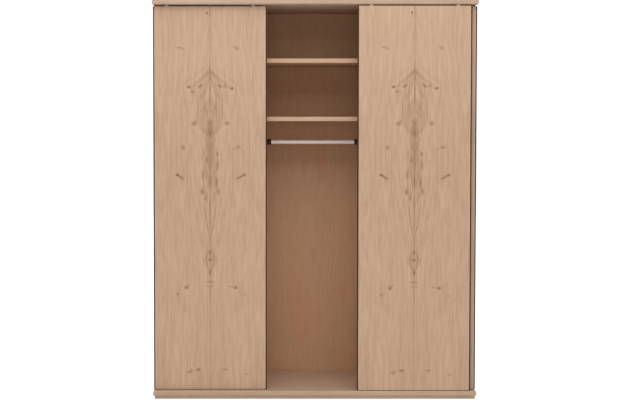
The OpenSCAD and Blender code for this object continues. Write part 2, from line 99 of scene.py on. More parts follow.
class Wiring:
    """Short forms for placing and joining nodes in one node tree."""

    def __init__(self, tree: Tree) -> None:
        """Starts from an empty tree.

        Args:
            tree: The tree to fill; what it holds is removed.
        """
        self.tree = tree
        tree.nodes.clear()

    def add(self, kind: str, **settings: object) -> Node:
        """Places a node and sets its properties.

        Args:
            kind: The node's type, such as ShaderNodeMath.
            **settings: Properties of the node by name.

        Returns:
            The new node.
        """
        node = self.tree.nodes.new(kind)
        for name, value in settings.items():
            setattr(node, name, value)
        return node

    def put(self, source: "Socket | float | tuple", target: Socket) -> None:
        """Links a socket to an input, or sets the input's own value."""
        if isinstance(source, bpy.types.NodeSocket):
            self.tree.links.new(source, target)
        else:
            target.default_value = source

    def math(self, operation: str, *values: "Socket | float", clamp: bool = False) -> Socket:
        """Places a Math node.

        Args:
            operation: The operation's name.
            *values: Its inputs in order.
            clamp: Whether the result is held between 0 and 1.

        Returns:
            The result's socket.
        """
        node = self.add("ShaderNodeMath", operation=operation, use_clamp=clamp)
        for value, target in zip(values, node.inputs):
            self.put(value, target)
        return node.outputs[0]

    def scaled(self, vector: Socket, factors: tuple[float, float, float]) -> Socket:
        """Multiplies a vector by three factors, which sets how long and narrow a pattern is."""
        node = self.add("ShaderNodeVectorMath", operation="MULTIPLY")
        self.put(vector, node.inputs[0])
        node.inputs[1].default_value = factors
        return node.outputs[0]

    def noise(self, vector: Socket, scale: float, detail: float = 3.0, roughness: float = 0.5) -> Socket:
        """Places a noise pattern and returns its value, which lies mostly between 0.3 and 0.7."""
        node = self.add("ShaderNodeTexNoise")
        self.put(vector, node.inputs["Vector"])
        node.inputs["Scale"].default_value = scale
        node.inputs["Detail"].default_value = detail
        node.inputs["Roughness"].default_value = roughness
        return node.outputs[0]

    def spread(self, value: Socket, low: float, high: float, to_low: float = 0.0,
               to_high: float = 1.0) -> Socket:
        """Maps a value from one span to another and holds it there."""
        node = self.add("ShaderNodeMapRange", clamp=True)
        for name, number in (("From Min", low), ("From Max", high), ("To Min", to_low), ("To Max", to_high)):
            node.inputs[name].default_value = number
        self.put(value, node.inputs["Value"])
        return node.outputs["Result"]

    def blend(self, factor: "Socket | float", first: "Socket | tuple", second: "Socket | tuple",
              mode: str = "MIX") -> Socket:
        """Mixes two colours.

        Args:
            factor: How much of the second colour shows.
            first: Colour at factor 0.
            second: Colour at factor 1.
            mode: Blend mode.

        Returns:
            The mixed colour's socket.
        """
        node = self.add("ShaderNodeMix", data_type="RGBA", blend_type=mode, clamp_factor=True)
        self.put(factor, node.inputs["Factor"])
        self.put(first, node.inputs[6])
        self.put(second, node.inputs[7])
        return node.outputs[2]

    def group(self, name: str, **values: "Socket | float | tuple") -> Node:
        """Places a shared group and fills its inputs.

        Args:
            name: The group's name.
            **values: Inputs by name, with underscores for spaces.

        Returns:
            The group node.
        """
        node = self.add("ShaderNodeGroup", node_tree=bpy.data.node_groups[name])
        for key, value in values.items():
            self.put(value, node.inputs[key.replace("_", " ")])
        return node


class SocketKind(Enum):
    """Kinds of group sockets."""

    NUMBER = "NodeSocketFloat"
    COLOUR = "NodeSocketColor"
    PLACE = "NodeSocketVector"


class SharedPattern:
    """A shader node group with named inputs and outputs, built once."""

    name = ""
    takes: tuple[tuple[str, SocketKind, object], ...] = ()
    gives: tuple[tuple[str, SocketKind], ...] = ()

    def build(self) -> None:
        """Makes the group's sockets, lets the subclass draw the pattern and joins its results."""
        tree = bpy.data.node_groups.new(self.name, "ShaderNodeTree")
        for label, kind, default in self.takes:
            socket = tree.interface.new_socket(label, in_out="INPUT", socket_type=kind.value)
            if default is not None:
                socket.default_value = default
        for label, kind in self.gives:
            tree.interface.new_socket(label, in_out="OUTPUT", socket_type=kind.value)
        wires = Wiring(tree)
        entry = wires.add("NodeGroupInput")
        leave = wires.add("NodeGroupOutput")
        for label, socket in self.draw(wires, entry.outputs).items():
            tree.links.new(socket, leave.inputs[label])

    def draw(self, wires: Wiring, given: bpy.types.NodeOutputs) -> dict[str, Socket]:
        """Draws the pattern; each subclass has its own."""
        raise NotImplementedError


@dataclass(frozen=True)
class GrainLayer:
    """One noise of the grain: how close it is across and along, its detail, roughness and weight."""

    across: float
    along: float
    detail: float
    roughness: float
    weight: float = 0.0


class OakGrain(SharedPattern):
    """Straight oak grain: broad bands, dashes, fine streaks and short open pores along the third axis."""

    name = "oak_grain"
    takes = (
        ("Vector", SocketKind.PLACE, None),
        ("Pale", SocketKind.COLOUR, (0.55, 0.36, 0.23, 1.0)),
        ("Dark", SocketKind.COLOUR, (0.40, 0.25, 0.15, 1.0)),
        ("Contrast", SocketKind.NUMBER, 1.0),
        ("Bands", SocketKind.NUMBER, 0.25),
        ("Pores", SocketKind.NUMBER, 0.5),
    )
    gives = (("Color", SocketKind.COLOUR), ("Mask", SocketKind.NUMBER), ("Height", SocketKind.NUMBER))
    sway_size = 20 * MM
    bands = GrainLayer(34.0, 0.9, 3.0, 0.55)
    clouds = GrainLayer(9.0, 2.2, 3.0, 0.6, 0.24)
    swayed = (
        GrainLayer(78.0, 8.0, 4.0, 0.6, 0.42),
        GrainLayer(210.0, 7.0, 3.0, 0.6, 0.32),
        GrainLayer(900.0, 12.0, 2.0, 0.6, 0.16),
    )
    mask_gain = 3.0

    @staticmethod
    def layer(wires: Wiring, vector: Socket, form: GrainLayer) -> Socket:
        """Places the noise of one layer, drawn out along the third axis."""
        drawn = wires.scaled(vector, (form.across, form.across, form.along))
        return wires.noise(drawn, 1.0, form.detail, form.roughness)

    def draw(self, wires: Wiring, given: bpy.types.NodeOutputs) -> dict[str, Socket]:
        """Draws the grain.

        The vector is (across, through, along) in metres. Six noises are drawn out along the grain: clouds a
        hand wide, bands about 30 mm across, dashes about 13 mm across, streaks about 5 mm across, fine lines
        about 1 mm across and pores finer than that. All but the clouds sway a little to the side. The
        weighted sum of all but the pores picks a tone between Dark and Pale, and the pores darken it.

        Args:
            wires: The group's wiring.
            given: The group's inputs.

        Returns:
            Color, Mask (0 in dark grain, 1 in pale) and Height.
        """
        place = given["Vector"]
        sway = wires.noise(wires.scaled(place, (6.0, 6.0, 1.4)), 1.0, 2.0)
        shifted = wires.add("ShaderNodeVectorMath", operation="ADD")
        offset = wires.add("ShaderNodeCombineXYZ")
        wires.put(wires.math("MULTIPLY", wires.math("SUBTRACT", sway, 0.5), self.sway_size), offset.inputs[0])
        wires.put(place, shifted.inputs[0])
        wires.put(offset.outputs[0], shifted.inputs[1])
        along = shifted.outputs[0]
        pores = wires.noise(wires.scaled(along, (1700.0, 1700.0, 55.0)), 1.0, 1.0)
        bands = self.layer(wires, along, self.bands)
        total = wires.math("MULTIPLY", wires.math("SUBTRACT", bands, 0.5), given["Bands"])
        for vector, form in ((place, self.clouds), *((along, one) for one in self.swayed)):
            part = wires.math("SUBTRACT", self.layer(wires, vector, form), 0.5)
            total = wires.math("ADD", total, wires.math("MULTIPLY", part, form.weight))
        centred = wires.math("MULTIPLY", total, given["Contrast"])
        mask = wires.math("ADD", wires.math("MULTIPLY", centred, self.mask_gain), 0.5, clamp=True)
        colour = wires.blend(mask, given["Dark"], given["Pale"])
        open_pores = wires.spread(pores, 0.36, 0.27)
        depth = wires.math("MULTIPLY", open_pores, given["Pores"])
        colour = wires.blend(wires.math("MULTIPLY", depth, 0.45), colour, given["Dark"], "MULTIPLY")
        height = wires.math("SUBTRACT", wires.math("MULTIPLY", mask, 0.35), depth)
        return {"Color": colour, "Mask": mask, "Height": height}


class EdgeWear(SharedPattern):
    """Worn arrises: the finish shows a second colour where the surface turns."""

    name = "edge_wear"
    takes = (("Vector", SocketKind.PLACE, None), ("Color", SocketKind.COLOUR, None),
             ("Worn", SocketKind.COLOUR, (0.5, 0.5, 0.5, 1.0)), ("Amount", SocketKind.NUMBER, 0.4))
    gives = (("Color", SocketKind.COLOUR),)
    reach = 2.5 * MM

    def draw(self, wires: Wiring, given: bpy.types.NodeOutputs) -> dict[str, Socket]:
        """Draws the wear.

        The normal is averaged over a small reach. Where it leaves the true normal, the surface turns, and a
        noise about 8 mm across breaks the wear up.

        Args:
            wires: The group's wiring.
            given: The group's inputs.

        Returns:
            Color.
        """
        averaged = wires.add("ShaderNodeBevel", samples=4)
        averaged.inputs["Radius"].default_value = self.reach
        shape = wires.add("ShaderNodeNewGeometry")
        match = wires.add("ShaderNodeVectorMath", operation="DOT_PRODUCT")
        wires.put(averaged.outputs[0], match.inputs[0])
        wires.put(shape.outputs["Normal"], match.inputs[1])
        turn = wires.spread(match.outputs["Value"], 0.995, 0.88)
        patches = wires.spread(wires.noise(given["Vector"], 120.0, 3.0, 0.6), 0.38, 0.6, 0.25, 1.0)
        mask = wires.math("MULTIPLY", turn, patches)
        worn = wires.math("MULTIPLY", mask, given["Amount"])
        return {"Color": wires.blend(worn, given["Color"], given["Worn"])}


class BrushedMetal(SharedPattern):
    """Fine parallel brushing along the third axis, with faint handling marks."""

    name = "brushed_metal"
    takes = (("Vector", SocketKind.PLACE, None), ("Fineness", SocketKind.NUMBER, 2500.0),
             ("Roughness", SocketKind.NUMBER, 0.35), ("Spread", SocketKind.NUMBER, 0.12))
    gives = (("Roughness", SocketKind.NUMBER), ("Height", SocketKind.NUMBER))

    def draw(self, wires: Wiring, given: bpy.types.NodeOutputs) -> dict[str, Socket]:
        """Draws the brushing.

        A noise that is drawn out along the third axis gives the hairlines, and a soft round noise gives
        smudges. Roughness is the given one plus the spread times the two together.

        Args:
            wires: The group's wiring.
            given: The group's inputs.

        Returns:
            Roughness and Height.
        """
        lines = wires.add("ShaderNodeTexNoise")
        wires.put(wires.scaled(given["Vector"], (1.0, 1.0, 0.012)), lines.inputs["Vector"])
        wires.put(given["Fineness"], lines.inputs["Scale"])
        lines.inputs["Detail"].default_value = 2.0
        smudge = wires.noise(given["Vector"], 22.0, 3.0)
        both = wires.math("ADD", wires.math("SUBTRACT", lines.outputs[0], 0.5),
                          wires.math("MULTIPLY", wires.math("SUBTRACT", smudge, 0.5), 0.9))
        rough = wires.math("ADD", given["Roughness"], wires.math("MULTIPLY", both, given["Spread"]))
        return {"Roughness": rough, "Height": lines.outputs[0]}


class MouldedGrain(SharedPattern):
    """The fine pebbled skin of moulded plastic or rubber."""

    name = "moulded_grain"
    takes = (("Vector", SocketKind.PLACE, None), ("Fineness", SocketKind.NUMBER, 900.0),
             ("Roughness", SocketKind.NUMBER, 0.5), ("Spread", SocketKind.NUMBER, 0.15))
    gives = (("Roughness", SocketKind.NUMBER), ("Height", SocketKind.NUMBER))

    def draw(self, wires: Wiring, given: bpy.types.NodeOutputs) -> dict[str, Socket]:
        """Draws the skin.

        Small round cells give the height, and a slow noise varies the gloss.

        Args:
            wires: The group's wiring.
            given: The group's inputs.

        Returns:
            Roughness and Height.
        """
        cells = wires.add("ShaderNodeTexVoronoi", feature="SMOOTH_F1")
        wires.put(given["Vector"], cells.inputs["Vector"])
        wires.put(given["Fineness"], cells.inputs["Scale"])
        slow = wires.noise(given["Vector"], 40.0, 3.0)
        rough = wires.math("ADD", given["Roughness"],
                           wires.math("MULTIPLY", wires.math("SUBTRACT", slow, 0.5), given["Spread"]))
        return {"Roughness": rough, "Height": cells.outputs["Distance"]}


class RubWear(SharedPattern):
    """Soft rubbing and dust that lifts a colour a little in patches."""

    name = "rub_wear"
    takes = (("Vector", SocketKind.PLACE, None), ("Color", SocketKind.COLOUR, None),
             ("Worn", SocketKind.COLOUR, (0.5, 0.5, 0.5, 1.0)), ("Amount", SocketKind.NUMBER, 0.2))
    gives = (("Color", SocketKind.COLOUR),)

    def draw(self, wires: Wiring, given: bpy.types.NodeOutputs) -> dict[str, Socket]:
        """Draws the rubbing: the product of a slow and a fine noise, spread from 0 to 1.

        Args:
            wires: The group's wiring.
            given: The group's inputs.

        Returns:
            Color.
        """
        slow = wires.noise(given["Vector"], 9.0, 2.0)
        fine = wires.noise(given["Vector"], 160.0, 4.0, 0.65)
        mask = wires.spread(wires.math("MULTIPLY", slow, fine), 0.24, 0.42)
        worn = wires.math("MULTIPLY", mask, given["Amount"])
        return {"Color": wires.blend(worn, given["Color"], given["Worn"])}


# ---------------------------------------------------------------- finishes


class GrainAxis(Enum):
    """The way the grain or brushing runs, as the order in which X, Y and Z feed a pattern."""

    ALONG_X = ("Y", "Z", "X")
    ALONG_Y = ("Z", "X", "Y")
    ALONG_Z = ("X", "Y", "Z")


@dataclass(frozen=True)
class Finish:
    """What every finish shares: a name, a shader and a place to read patterns from."""

    name: str

    def start(self) -> tuple[Material, Wiring, Node]:
        """Makes the material with its shader and output.

        Returns:
            The material, its wiring and the shader node.
        """
        material = bpy.data.materials.new(self.name)
        material.use_nodes = True
        wires = Wiring(material.node_tree)
        shader = wires.add("ShaderNodeBsdfPrincipled")
        output = wires.add("ShaderNodeOutputMaterial")
        material.node_tree.links.new(shader.outputs[0], output.inputs["Surface"])
        return material, wires, shader

    @staticmethod
    def turned(wires: Wiring, axis: GrainAxis, offset: float = 0.0) -> Socket:
        """Object coordinates in the order across, through, along.

        Args:
            wires: The material's wiring.
            axis: The way the grain runs.
            offset: Moves the pattern, so that two finishes don't repeat each other.

        Returns:
            The turned coordinates.
        """
        places = wires.add("ShaderNodeTexCoord")
        split = wires.add("ShaderNodeSeparateXYZ")
        join = wires.add("ShaderNodeCombineXYZ")
        wires.put(places.outputs["Object"], split.inputs[0])
        for position, letter in enumerate(axis.value):
            wires.put(wires.math("ADD", split.outputs[letter], offset), join.inputs[position])
        return join.outputs[0]

    @staticmethod
    def worn_edges(wires: Wiring, place: Socket, colour: Socket, worn: tuple[float, float, float],
                   amount: float) -> Socket:
        """Shows a second colour along the piece's edges."""
        edges = wires.group("edge_wear", Vector=place, Color=colour, Worn=tone(*worn), Amount=amount)
        return edges.outputs["Color"]

    @staticmethod
    def relief(wires: Wiring, shader: Node, height: Socket, strength: float, distance: float) -> None:
        """Feeds a height through a Bump node into the shader's normal."""
        bump = wires.add("ShaderNodeBump")
        bump.inputs["Strength"].default_value = strength
        bump.inputs["Distance"].default_value = distance
        wires.put(height, bump.inputs["Height"])
        wires.put(bump.outputs[0], shader.inputs["Normal"])


@dataclass(frozen=True)
class OakFinish(Finish):
    """Matt oak with straight grain, as veneer or foil."""

    pale: tuple[float, float, float] = (200, 168, 142)
    dark: tuple[float, float, float] = (176, 142, 114)
    worn: tuple[float, float, float] = (214, 186, 160)
    axis: GrainAxis = GrainAxis.ALONG_Z
    contrast: float = 1.0
    bands: float = 0.25
    pores: float = 0.6
    roughness: float = 0.58
    blush: float = 0.0
    offset: float = 0.0

    def build(self) -> Material:
        """Makes the material: grain colour, roughness from the grain and bump from the pores."""
        material, wires, shader = self.start()
        place = self.turned(wires, self.axis, self.offset)
        grain = wires.group("oak_grain", Vector=place, Pale=tone(*self.pale), Dark=tone(*self.dark),
                            Contrast=self.contrast, Bands=self.bands, Pores=self.pores)
        colour = grain.outputs["Color"]
        if self.blush > 0.0:
            patches = wires.spread(wires.noise(wires.scaled(place, (7.0, 7.0, 3.0)), 1.0, 3.0), 0.5, 0.66)
            reddened = tone(self.pale[0], self.pale[1] * 0.88, self.pale[2] * 0.80)
            colour = wires.blend(wires.math("MULTIPLY", patches, self.blush), colour, reddened)
        colour = self.worn_edges(wires, place, colour, self.worn, 0.5)
        wires.put(colour, shader.inputs["Base Color"])
        rough = wires.spread(grain.outputs["Mask"], 0.0, 1.0, self.roughness + 0.08, self.roughness - 0.05)
        wires.put(rough, shader.inputs["Roughness"])
        shader.inputs["Specular IOR Level"].default_value = 0.3
        self.relief(wires, shader, grain.outputs["Height"], 0.35, 0.15 * MM)
        return material


@dataclass(frozen=True)
class KnottyVeneer(Finish):
    """Book-matched knotty oak: the grain follows each sheet's own veneer attribute."""

    pale: tuple[float, float, float] = (213, 179, 151)
    dark: tuple[float, float, float] = (184, 149, 121)
    light: tuple[float, float, float] = (226, 195, 166)
    knot: tuple[float, float, float] = (104, 72, 51)
    halo: tuple[float, float, float] = (148, 112, 84)
    line_pitch: float = 15.0 * MM
    roughness: float = 0.55

    def build(self) -> Material:
        """Makes the material.

        The attribute holds the ring coordinate, the height on the sheet and the distance from the seam; three
        more hold the knots, the figured wood and the shaded growth rings. The ring coordinate takes the place
        of the across coordinate, so the grain lines flow round the knots and meet in mirror image at the
        seam. In figured wood, growth lines follow whole multiples of the pitch, and a noise breaks dark and
        light patches out of it.

        Returns:
            The material.
        """
        material, wires, shader = self.start()
        veneer = wires.add("ShaderNodeAttribute", attribute_name="veneer")
        split = wires.add("ShaderNodeSeparateXYZ")
        join = wires.add("ShaderNodeCombineXYZ")
        wires.put(veneer.outputs["Vector"], split.inputs[0])
        wires.put(split.outputs["X"], join.inputs[0])
        wires.put(split.outputs["Y"], join.inputs[2])
        join.inputs[1].default_value = 0.37
        place = join.outputs[0]
        grain = wires.group("oak_grain", Vector=place, Pale=tone(*self.pale), Dark=tone(*self.dark),
                            Contrast=1.0, Bands=0.16, Pores=0.6)
        figure = wires.add("ShaderNodeAttribute", attribute_name="figure").outputs["Fac"]
        shade = wires.add("ShaderNodeAttribute", attribute_name="shade").outputs["Fac"]
        lines, between = self.growth_lines(wires, place, split.outputs["X"])
        patches = wires.noise(wires.scaled(place, (70.0, 1.0, 13.0)), 1.0, 4.0, 0.62)
        dark_patches = wires.spread(patches, 0.50, 0.66)
        light_patches = wires.spread(patches, 0.46, 0.32)
        figured = wires.math("ADD", wires.math("MULTIPLY", dark_patches, 0.55),
                             wires.math("MULTIPLY", lines, 0.30))
        strong = wires.math("MULTIPLY", figure, wires.math("ADD", figured, 0.10))
        drawn = wires.math("MULTIPLY", shade, wires.spread(patches, 0.34, 0.60, 0.45, 1.0))
        strong = wires.math("ADD", strong, drawn, clamp=True)
        light = wires.math("MULTIPLY", figure, wires.math("ADD", wires.math("MULTIPLY", between, 0.2),
                                                         wires.math("MULTIPLY", light_patches, 0.6)))
        colour = wires.blend(light, grain.outputs["Color"], tone(*self.light))
        colour = wires.blend(strong, colour, tone(*self.halo))
        knots = wires.add("ShaderNodeAttribute", attribute_name="knot").outputs["Fac"]
        torn = wires.noise(wires.scaled(place, (170.0, 1.0, 110.0)), 1.0, 3.0, 0.65)
        ragged = wires.math("ADD", knots, wires.math("MULTIPLY", wires.math("SUBTRACT", torn, 0.5), 0.6))
        ragged = wires.math("MULTIPLY", ragged, wires.spread(knots, 0.02, 0.2))
        colour = wires.blend(wires.spread(ragged, 0.08, 0.60, 0.0, 0.85), colour, tone(*self.halo))
        colour = wires.blend(wires.spread(ragged, 0.46, 0.95), colour, tone(*self.knot))
        seam = wires.spread(split.outputs["Z"], 4.0 * MM, 0.5 * MM, 0.0, 0.4)
        colour = wires.blend(seam, colour, tone(*self.halo))
        colour = self.worn_edges(wires, place, colour, self.light, 0.4)
        wires.put(colour, shader.inputs["Base Color"])
        rough = wires.spread(grain.outputs["Mask"], 0.0, 1.0, self.roughness + 0.07, self.roughness - 0.05)
        wires.put(rough, shader.inputs["Roughness"])
        shader.inputs["Specular IOR Level"].default_value = 0.3
        height = wires.math("SUBTRACT", grain.outputs["Height"], wires.math("MULTIPLY", knots, 0.8))
        self.relief(wires, shader, height, 0.4, 0.15 * MM)
        return material

    def growth_lines(self, wires: Wiring, place: Socket, ring: Socket) -> tuple[Socket, Socket]:
        """Draws the growth lines of figured wood.

        The ring coordinate over the pitch, swayed by a noise, has a fraction. The distance of the fraction
        from one half is near a half on a line and near nothing midway between lines.

        Args:
            wires: The material's wiring.
            place: The veneer's own coordinates.
            ring: The ring coordinate.

        Returns:
            The lines and the pale wood between them.
        """
        sway = wires.noise(wires.scaled(place, (22.0, 1.0, 8.0)), 1.0, 3.0, 0.6)
        count = wires.math("ADD", wires.math("DIVIDE", ring, self.line_pitch),
                           wires.math("MULTIPLY", sway, 3.0))
        apart = wires.math("ABSOLUTE", wires.math("SUBTRACT", wires.math("FRACT", count), 0.5))
        return wires.spread(apart, 0.2, 0.46), wires.spread(apart, 0.22, 0.04)


@dataclass(frozen=True)
class MetalFinish(Finish):
    """Brushed, anodised or lacquered metal."""

    colour: tuple[float, float, float] = (186, 188, 190)
    worn: tuple[float, float, float] = (210, 210, 210)
    axis: GrainAxis = GrainAxis.ALONG_X
    metallic: float = 1.0
    roughness: float = 0.35
    specular: float = 0.5
    wear: float = 0.15

    def build(self) -> Material:
        """Makes the material: brushed roughness and bump, and a colour rubbed in patches and at edges."""
        material, wires, shader = self.start()
        place = self.turned(wires, self.axis)
        brushed = wires.group("brushed_metal", Vector=place, Roughness=self.roughness)
        rubbed = wires.group("rub_wear", Vector=place, Color=tone(*self.colour), Worn=tone(*self.worn),
                             Amount=self.wear)
        colour = self.worn_edges(wires, place, rubbed.outputs["Color"], self.worn, self.wear * 2.0)
        wires.put(colour, shader.inputs["Base Color"])
        wires.put(brushed.outputs["Roughness"], shader.inputs["Roughness"])
        shader.inputs["Metallic"].default_value = self.metallic
        shader.inputs["Specular IOR Level"].default_value = self.specular
        self.relief(wires, shader, brushed.outputs["Height"], 0.15, 0.03 * MM)
        return material


@dataclass(frozen=True)
class MouldedFinish(Finish):
    """Moulded plastic or rubber."""

    colour: tuple[float, float, float] = (30, 28, 27)
    worn: tuple[float, float, float] = (80, 78, 75)
    roughness: float = 0.5
    wear: float = 0.2

    def build(self) -> Material:
        """Makes the material: pebbled skin, uneven gloss and a dusty rub."""
        material, wires, shader = self.start()
        place = self.turned(wires, GrainAxis.ALONG_Z)
        skin = wires.group("moulded_grain", Vector=place, Roughness=self.roughness)
        rubbed = wires.group("rub_wear", Vector=place, Color=tone(*self.colour), Worn=tone(*self.worn),
                             Amount=self.wear)
        colour = self.worn_edges(wires, place, rubbed.outputs["Color"], self.worn, self.wear * 2.0)
        wires.put(colour, shader.inputs["Base Color"])
        wires.put(skin.outputs["Roughness"], shader.inputs["Roughness"])
        shader.inputs["Specular IOR Level"].default_value = 0.35
        self.relief(wires, shader, skin.outputs["Height"], 0.2, 0.05 * MM)
        return material


class FinishShelf:
    """All the wardrobe's finishes, each made once and kept by name."""

    def __init__(self) -> None:
        """Makes the shared patterns and then every material."""
        for pattern in (OakGrain(), EdgeWear(), BrushedMetal(), MouldedGrain(), RubWear()):
            pattern.build()
        inside = {"pale": (211, 175, 144), "dark": (192, 157, 127), "worn": (220, 190, 162), "contrast": 0.8,
                  "bands": 0.12}
        board = {"pale": (203, 174, 149), "dark": (182, 151, 125), "contrast": 0.9, "bands": 0.3}
        finishes = [
            KnottyVeneer("door_veneer"),
            OakFinish("door_core", pale=(200, 168, 140), dark=(178, 145, 117), offset=0.7),
            OakFinish("board_along_x", axis=GrainAxis.ALONG_X, offset=0.31, **board),
            OakFinish("board_along_y", axis=GrainAxis.ALONG_Y, offset=1.13, **board),
            OakFinish("side_oak", pale=(202, 170, 143), dark=(178, 145, 118), offset=2.41),
            OakFinish("interior_upright", axis=GrainAxis.ALONG_Z, offset=3.17, **inside),
            OakFinish("interior_shelf", axis=GrainAxis.ALONG_X, offset=4.71, **inside),
            OakFinish("back_panel_oak", pale=(204, 163, 130), dark=(184, 143, 111), offset=5.3, contrast=0.8,
                      bands=0.08, pores=0.2, roughness=0.66, blush=0.3),
            MetalFinish("profile_bronze", colour=(66, 46, 32), worn=(104, 80, 60), axis=GrainAxis.ALONG_Z,
                        metallic=0.0, roughness=0.5, specular=0.25),
            MetalFinish("track_aluminium", colour=(200, 172, 148), worn=(218, 196, 174), roughness=0.45,
                        metallic=0.3),
            MetalFinish("rail_steel", colour=(246, 236, 230), worn=(250, 246, 242), roughness=0.5,
                        metallic=0.3),
            MetalFinish("zinc_steel", colour=(176, 174, 168), worn=(140, 136, 128), roughness=0.34, wear=0.4),
            MouldedFinish("black_plastic", colour=(17, 15, 14), worn=(52, 49, 47), roughness=0.45),
            MouldedFinish("nylon", colour=(214, 204, 190), worn=(186, 176, 162), roughness=0.36),
            MouldedFinish("stop_rubber", colour=(40, 39, 38), worn=(92, 90, 86), roughness=0.75, wear=0.35),
            OakFinish("beech", pale=(219, 187, 143), dark=(196, 160, 116), pores=0.1, offset=6.2),
        ]
        self.materials = {finish.name: finish.build() for finish in finishes}

    def __getitem__(self, name: str) -> Material:
        """The material of that name."""
        return self.materials[name]


# ---------------------------------------------------------------- surfaces


def grid_quads(rows: int, columns: int, wrap_rows: bool = False, wrap_columns: bool = False) -> np.ndarray:
    """Corners of the faces of a grid whose points are numbered row by row.

    Args:
        rows: Number of rows of points.
        columns: Number of points in a row.
        wrap_rows: Whether the last row joins the first.
        wrap_columns: Whether the last point of a row joins its first.

    Returns:
        Four point numbers for each face.
    """
    row = np.arange(rows if wrap_rows else rows - 1)
    column = np.arange(columns if wrap_columns else columns - 1)
    a, b = np.meshgrid(row, column, indexing="ij")
    next_a, next_b = (a + 1) % rows, (b + 1) % columns
    corners = [a * columns + b, a * columns + next_b, next_a * columns + next_b, next_a * columns + b]
    return np.stack(corners, axis=-1).reshape(-1, 4)


def enclosed_volume(points: np.ndarray, faces: list[list[int]]) -> float:
    """Signed volume inside closed faces, from the sum of the tetrahedra between the origin and each fan."""
    total = 0.0
    centre = points.mean(0)
    sizes: dict[int, list[list[int]]] = {}
    for face in faces:
        sizes.setdefault(len(face), []).append(face)
    for size, group in sizes.items():
        corners = points[np.array(group)] - centre
        for k in range(1, size - 1):
            cross = np.cross(corners[:, k], corners[:, k + 1])
            total += float(np.einsum("ij,ij->i", corners[:, 0], cross).sum())
    return total / 6.0


@dataclass
class Surface:
    """Points and faces on their way to becoming a piece."""

    points: np.ndarray
    faces: list[list[int]]

    def facing_out(self) -> "Surface":
        """The same surface with its faces turned outwards."""
        if enclosed_volume(self.points, self.faces) < 0.0:
            return Surface(self.points, [face[::-1] for face in self.faces])
        return self

    def joined(self, other: "Surface") -> "Surface":
        """This surface and another in one mesh."""
        shift = len(self.points)
        moved = [[corner + shift for corner in face] for face in other.faces]
        return Surface(np.vstack([self.points, other.points]), self.faces + moved)

    def object(self, name: str, crease: float = 35.0) -> Object:
        """Makes the mesh object.

        Args:
            name: Name of the piece.
            crease: Edges that turn by more than this many degrees stay sharp.

        Returns:
            The object, at the origin, with its place in its mesh.
        """
        mesh = bpy.data.meshes.new(name)
        mesh.from_pydata(self.points, [], self.faces)
        mesh.polygons.foreach_set("use_smooth", np.ones(len(mesh.polygons), dtype=bool))
        mesh.set_sharp_from_angle(angle=math.radians(crease))
        mesh.update()
        piece = bpy.data.objects.new(name, mesh)
        bpy.context.scene.collection.objects.link(piece)
        return piece


def swept(section: np.ndarray, heights: np.ndarray) -> Surface:
    """A closed section carried straight up, with flat ends.

    Every height repeats the section's points, so the surface is section(s) + height(t) in Z.

    Args:
        section: Points of the closed section, as X and Y.
        heights: Z of each ring.

    Returns:
        The surface, facing out.
    """
    rings, count = len(heights), len(section)
    flat = np.broadcast_to(section, (rings, count, 2))
    tall = np.broadcast_to(heights[:, None, None], (rings, count, 1))
    points = np.concatenate([flat, tall], axis=2).reshape(-1, 3)
    faces = grid_quads(rings, count, wrap_columns=True).tolist()
    faces.append(list(range(count)))
    faces.append(list(range((rings - 1) * count, rings * count))[::-1])
    return Surface(points, faces).facing_out()


class Axle(Enum):
    """The direction a turned piece is turned about."""

    X = 0
    Y = 1


def turned(section: np.ndarray, centre: tuple[float, float, float], axle: Axle, steps: int = 64) -> Surface:
    """A closed section turned about an axis.

    A point of the section at distance d along the axis and radius r goes to centre + d along the axis + r
    (cos a, sin a) across it, for steps equal angles a.

    Args:
        section: Points of the closed section, as distance along the axis and radius.
        centre: A point on the axis.
        axle: Which way the axis runs.
        steps: Number of positions round the axis.

    Returns:
        The surface, facing out.
    """
    angle = np.arange(steps) * (2.0 * math.pi / steps)
    along = np.broadcast_to(section[None, :, 0], (steps, len(section)))
    first = np.cos(angle)[:, None] * section[None, :, 1]
    second = np.sin(angle)[:, None] * section[None, :, 1]
    order = (along, first, second) if axle is Axle.X else (first, along, second)
    points = np.stack(order, axis=-1).reshape(-1, 3) + np.array(centre)
    faces = grid_quads(steps, len(section), wrap_rows=True, wrap_columns=True).tolist()
    return Surface(points, faces).facing_out()


def rounded(corners: list[tuple[float, float, float]], steps: int = 5) -> np.ndarray:
    """A closed outline with each corner rounded.

    At each corner the two sides are cut back by the same length and joined by the quadratic curve whose
    middle control point is the corner itself.

    Args:
        corners: X, Y and the length that the corner is cut back by; 0 keeps it sharp.
        steps: Points on each rounded corner.

    Returns:
        The outline's points.
    """
    count = len(corners)
    outline = []
    for i in range(count):
        here = np.array(corners[i][:2], dtype=float)
        cut = corners[i][2]
        if cut <= 0.0:
            outline.append(here[None, :])
            continue
        before = np.array(corners[i - 1][:2]) - here
        after = np.array(corners[(i + 1) % count][:2]) - here
        start = here + before / np.linalg.norm(before) * cut
        end = here + after / np.linalg.norm(after) * cut
        t = np.linspace(0.0, 1.0, steps)[:, None]
        outline.append((1 - t) ** 2 * start + 2 * t * (1 - t) * here + t**2 * end)
    return np.vstack(outline)


# ---------------------------------------------------------------- what every sub-assembly can do


